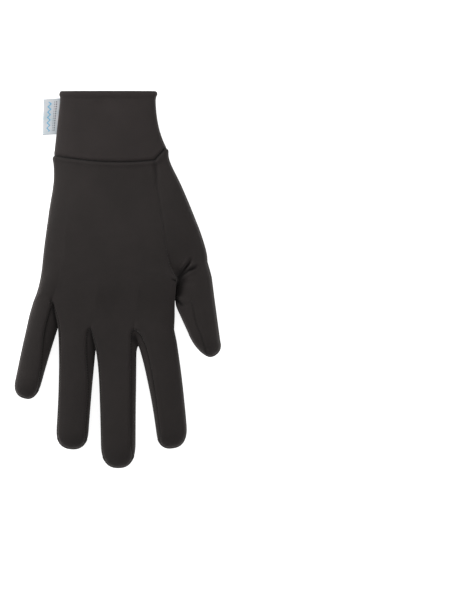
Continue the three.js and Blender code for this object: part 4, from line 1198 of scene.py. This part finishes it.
WALE = 0.48  # width of one column of knit loops, in millimetres
COURSE = 0.4  # height of one loop
LOOP_SLANT = 1.3
# SHADE is the near-black colour that the knit takes on as painted shade in seams, folds and the hem
# groove
SHADE = (0.002, 0.0018, 0.0017, 1)
SHADE_STRENGTH = 0.85


def knit(name, dark, light, sheen, bump):
    """Brushed stretch jersey: columns of V-shaped loops under short soft fibres."""
    m = Shading(name)
    across, along, shade = m.cloth()
    column = m.calc("FRACT", m.calc("DIVIDE", across, WALE))
    from_middle = m.calc("ABSOLUTE", m.calc("SUBTRACT", column, 0.5))
    slant = m.calc("MULTIPLY", from_middle, LOOP_SLANT)
    loop = m.calc("ADD", m.calc("DIVIDE", along, COURSE), slant)
    wave = m.calc("SINE", m.calc("MULTIPLY", loop, 2 * math.pi))
    wave = m.calc("MULTIPLY_ADD", wave, 0.5, 0.5)
    cord = m.calc("SINE", m.calc("MULTIPLY", column, math.pi))
    stitch = m.calc("MULTIPLY", wave, cord)
    fibres, blotches = m.noise(2600.0, 3.0), m.noise(45.0, 3.0)
    speckle = m.scaled(m.calc("MULTIPLY_ADD", stitch, 0.35, blotches), 0.3, 1.1, 0.0, 1.0)
    # Painted shade: the stored shade darkens the knit's colour towards SHADE
    shaded = m.calc("MULTIPLY", shade, SHADE_STRENGTH)
    return m.done({
        "Base Color": m.mix(shaded, m.ramp(speckle, dark, light), SHADE),
        "Roughness": m.scaled(fibres, 0.0, 1.0, 0.78, 0.95),
        "Normal": m.bump(m.calc("MULTIPLY_ADD", fibres, 0.8, stitch), bump, 0.00018),
        "Specular IOR Level": 0.25, "Sheen Weight": sheen, "Sheen Roughness": 0.42,
        "Sheen Tint": (0.85, 0.8, 0.76, 1),
    })


def thread_material():
    """Twisted polyester thread, a little glossier than the cloth."""
    m = Shading("thread")
    waves = {"Vector": m.where, "Scale": 1400.0, "Distortion": 2.0}
    twist = m.node("TexWave", waves, bands_direction="DIAGONAL").outputs["Fac"]
    return m.done({
        "Base Color": m.ramp(twist, (0.010, 0.009, 0.009), (0.024, 0.022, 0.021)),
        "Normal": m.bump(twist, 0.5, 0.00005), "Roughness": 0.55, "Sheen Weight": 0.15,
    })


LABEL_BLUE = (0.10, 0.33, 0.52, 1)
LABEL_DARK = (0.03, 0.03, 0.05, 1)
LABEL_MARGIN = 2.0
WEFT = 0.22
WARP = 0.3


def satin_material():
    """Woven satin ribbon with a plain zigzag in blue and two rows of short dark bars."""
    m = Shading("satin")
    across, along, _ = m.cloth()
    weft = m.calc("SINE", m.calc("MULTIPLY", along, 2 * math.pi / WEFT))
    warp = m.calc("SINE", m.calc("MULTIPLY", across, 2 * math.pi / WARP))
    weave = m.calc("MULTIPLY_ADD", warp, 0.35, weft)
    ground = m.ramp(m.noise(190.0, 2.0), (0.40, 0.47, 0.51), (0.53, 0.53, 0.55), 0.3, 0.7)
    wander = m.calc("PINGPONG", along, 1.7)
    line = m.band(m.calc("SUBTRACT", across, wander), 5.2, 0.45, 0.08)
    inside = m.band(along, LABEL_LENGTH / 2, LABEL_LENGTH / 2 - LABEL_MARGIN, 0.1)
    dash = m.band(m.calc("FRACT", m.calc("DIVIDE", along, 1.5)), 0.5, 0.26, 0.05)
    bars = m.calc("ADD", m.band(across, 2.2, 0.32, 0.06), m.band(across, 3.3, 0.14, 0.05))
    printed = m.mix(m.calc("MULTIPLY", line, inside), ground, LABEL_BLUE)
    dark = m.calc("MULTIPLY", m.calc("MULTIPLY", bars, dash), inside)
    return m.done({
        "Base Color": m.mix(dark, printed, LABEL_DARK),
        "Roughness": m.scaled(weave, -1.35, 1.35, 0.32, 0.5),
        "Normal": m.bump(weave, 0.25, 0.00006), "Anisotropic": 0.5, "Sheen Weight": 0.2,
    })


def paper_material():
    """Pale paper that glows a little, so that it shows almost no shadow."""
    m = Shading("paper")
    return m.done({
        "Base Color": m.ramp(m.noise(900.0, 2.0), (0.90, 0.90, 0.90), (0.94, 0.94, 0.94)),
        "Roughness": 0.9, "Specular IOR Level": 0.1,
        "Emission Color": (1, 1, 1, 1), "Emission Strength": 0.8,
    })


# The photograph's frame: its height in millimetres, its middle in the model's frame, and a
# camera so far above the floor that the view is nearly parallel
VIEW_HEIGHT = 382.5
VIEW_MIDDLE = (68.3, -13.0)
CAMERA_HEIGHT = 2400.0
SENSOR = 36.0
FLOOR_HALF = 6.0
FLOOR_DROP = 0.00005


def make_camera():
    data = bpy.data.cameras.new("camera")
    data.sensor_width = SENSOR
    data.lens = SENSOR * (CAMERA_HEIGHT - SEAM_HEIGHT) / VIEW_HEIGHT
    data.clip_end = 50
    bpy.context.scene.camera = new_object(
        "camera", data, (VIEW_MIDDLE[0] * MM, VIEW_MIDDLE[1] * MM, CAMERA_HEIGHT * MM))


def area_light(name, place, size, energy):
    """A square lamp, in metres and watts, that looks at the glove."""
    data = bpy.data.lights.new(name, "AREA")
    data.size = size
    data.energy = energy
    light = new_object(name, data, place)
    light.rotation_euler = (-Vector(place)).to_track_quat("-Z", "Y").to_euler()


def make_studio():
    world = bpy.data.worlds.new("studio")
    world.use_nodes = True
    background = world.node_tree.nodes["Background"]
    background.inputs["Color"].default_value = (1.0, 1.0, 1.0, 1)
    background.inputs["Strength"].default_value = 0.45
    bpy.context.scene.world = world
    area_light("key", (-0.42, 0.29, 0.21), 0.32, 3.0)
    area_light("fill", (0.5, 0.05, 0.3), 0.4, 0.85)
    half = FLOOR_HALF
    mesh = bpy.data.meshes.new("floor")
    mesh.from_pydata([(-half, -half, 0), (half, -half, 0), (half, half, 0), (-half, half, 0)],
                     [], [(0, 1, 2, 3)])
    mesh.materials.append(paper_material())
    new_object("floor", mesh, (0, 0, -FLOOR_DROP))
    bpy.context.scene.view_settings.view_transform = "Standard"


make_camera()
make_studio()

hand_knit = knit("hand_knit", (0.0197, 0.0162, 0.0155), (0.0280, 0.0231, 0.0219), 0.14, 0.55)
cuff_knit = knit("cuff_knit", (0.0242, 0.0195, 0.0188), (0.0341, 0.0274, 0.0265), 0.18, 0.6)
thread = thread_material()

glove = build_surface()
low, high = glove.place.min(axis=0), glove.place.max(axis=0)
# The outline's middle lies over the origin, and the cuff's folded edge is its far end.
label_left = cuff_sides((CUFF_LENGTH - LABEL_FROM_HEM - LABEL_LENGTH) / HEM_Y)[0] - LABEL_REACH
SHIFT = np.array([
    -(min(low[0], label_left) + high[0]) / 2, -(low[1] + CUFF_LENGTH) / 2, 0.0,
])
place, normals, shade = shape_glove(glove)
taken_in = seam_gaps(glove) / 2
for name in CLOTH_PIECES:
    own = glove.label == name
    quads, cloth_of_corner = glove.quads[own], glove.cloth_of_corner[own]
    places, faces, cloth = cloth_wall(place, normals, quads, cloth_of_corner, shade, taken_in)
    piece = make_mesh(f"{name}_cloth", places, faces, hand_knit, cloth)
    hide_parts(name)
cuff_band(glove, cuff_knit)
sew(glove, place, normals, thread)
label_tab(satin_material())
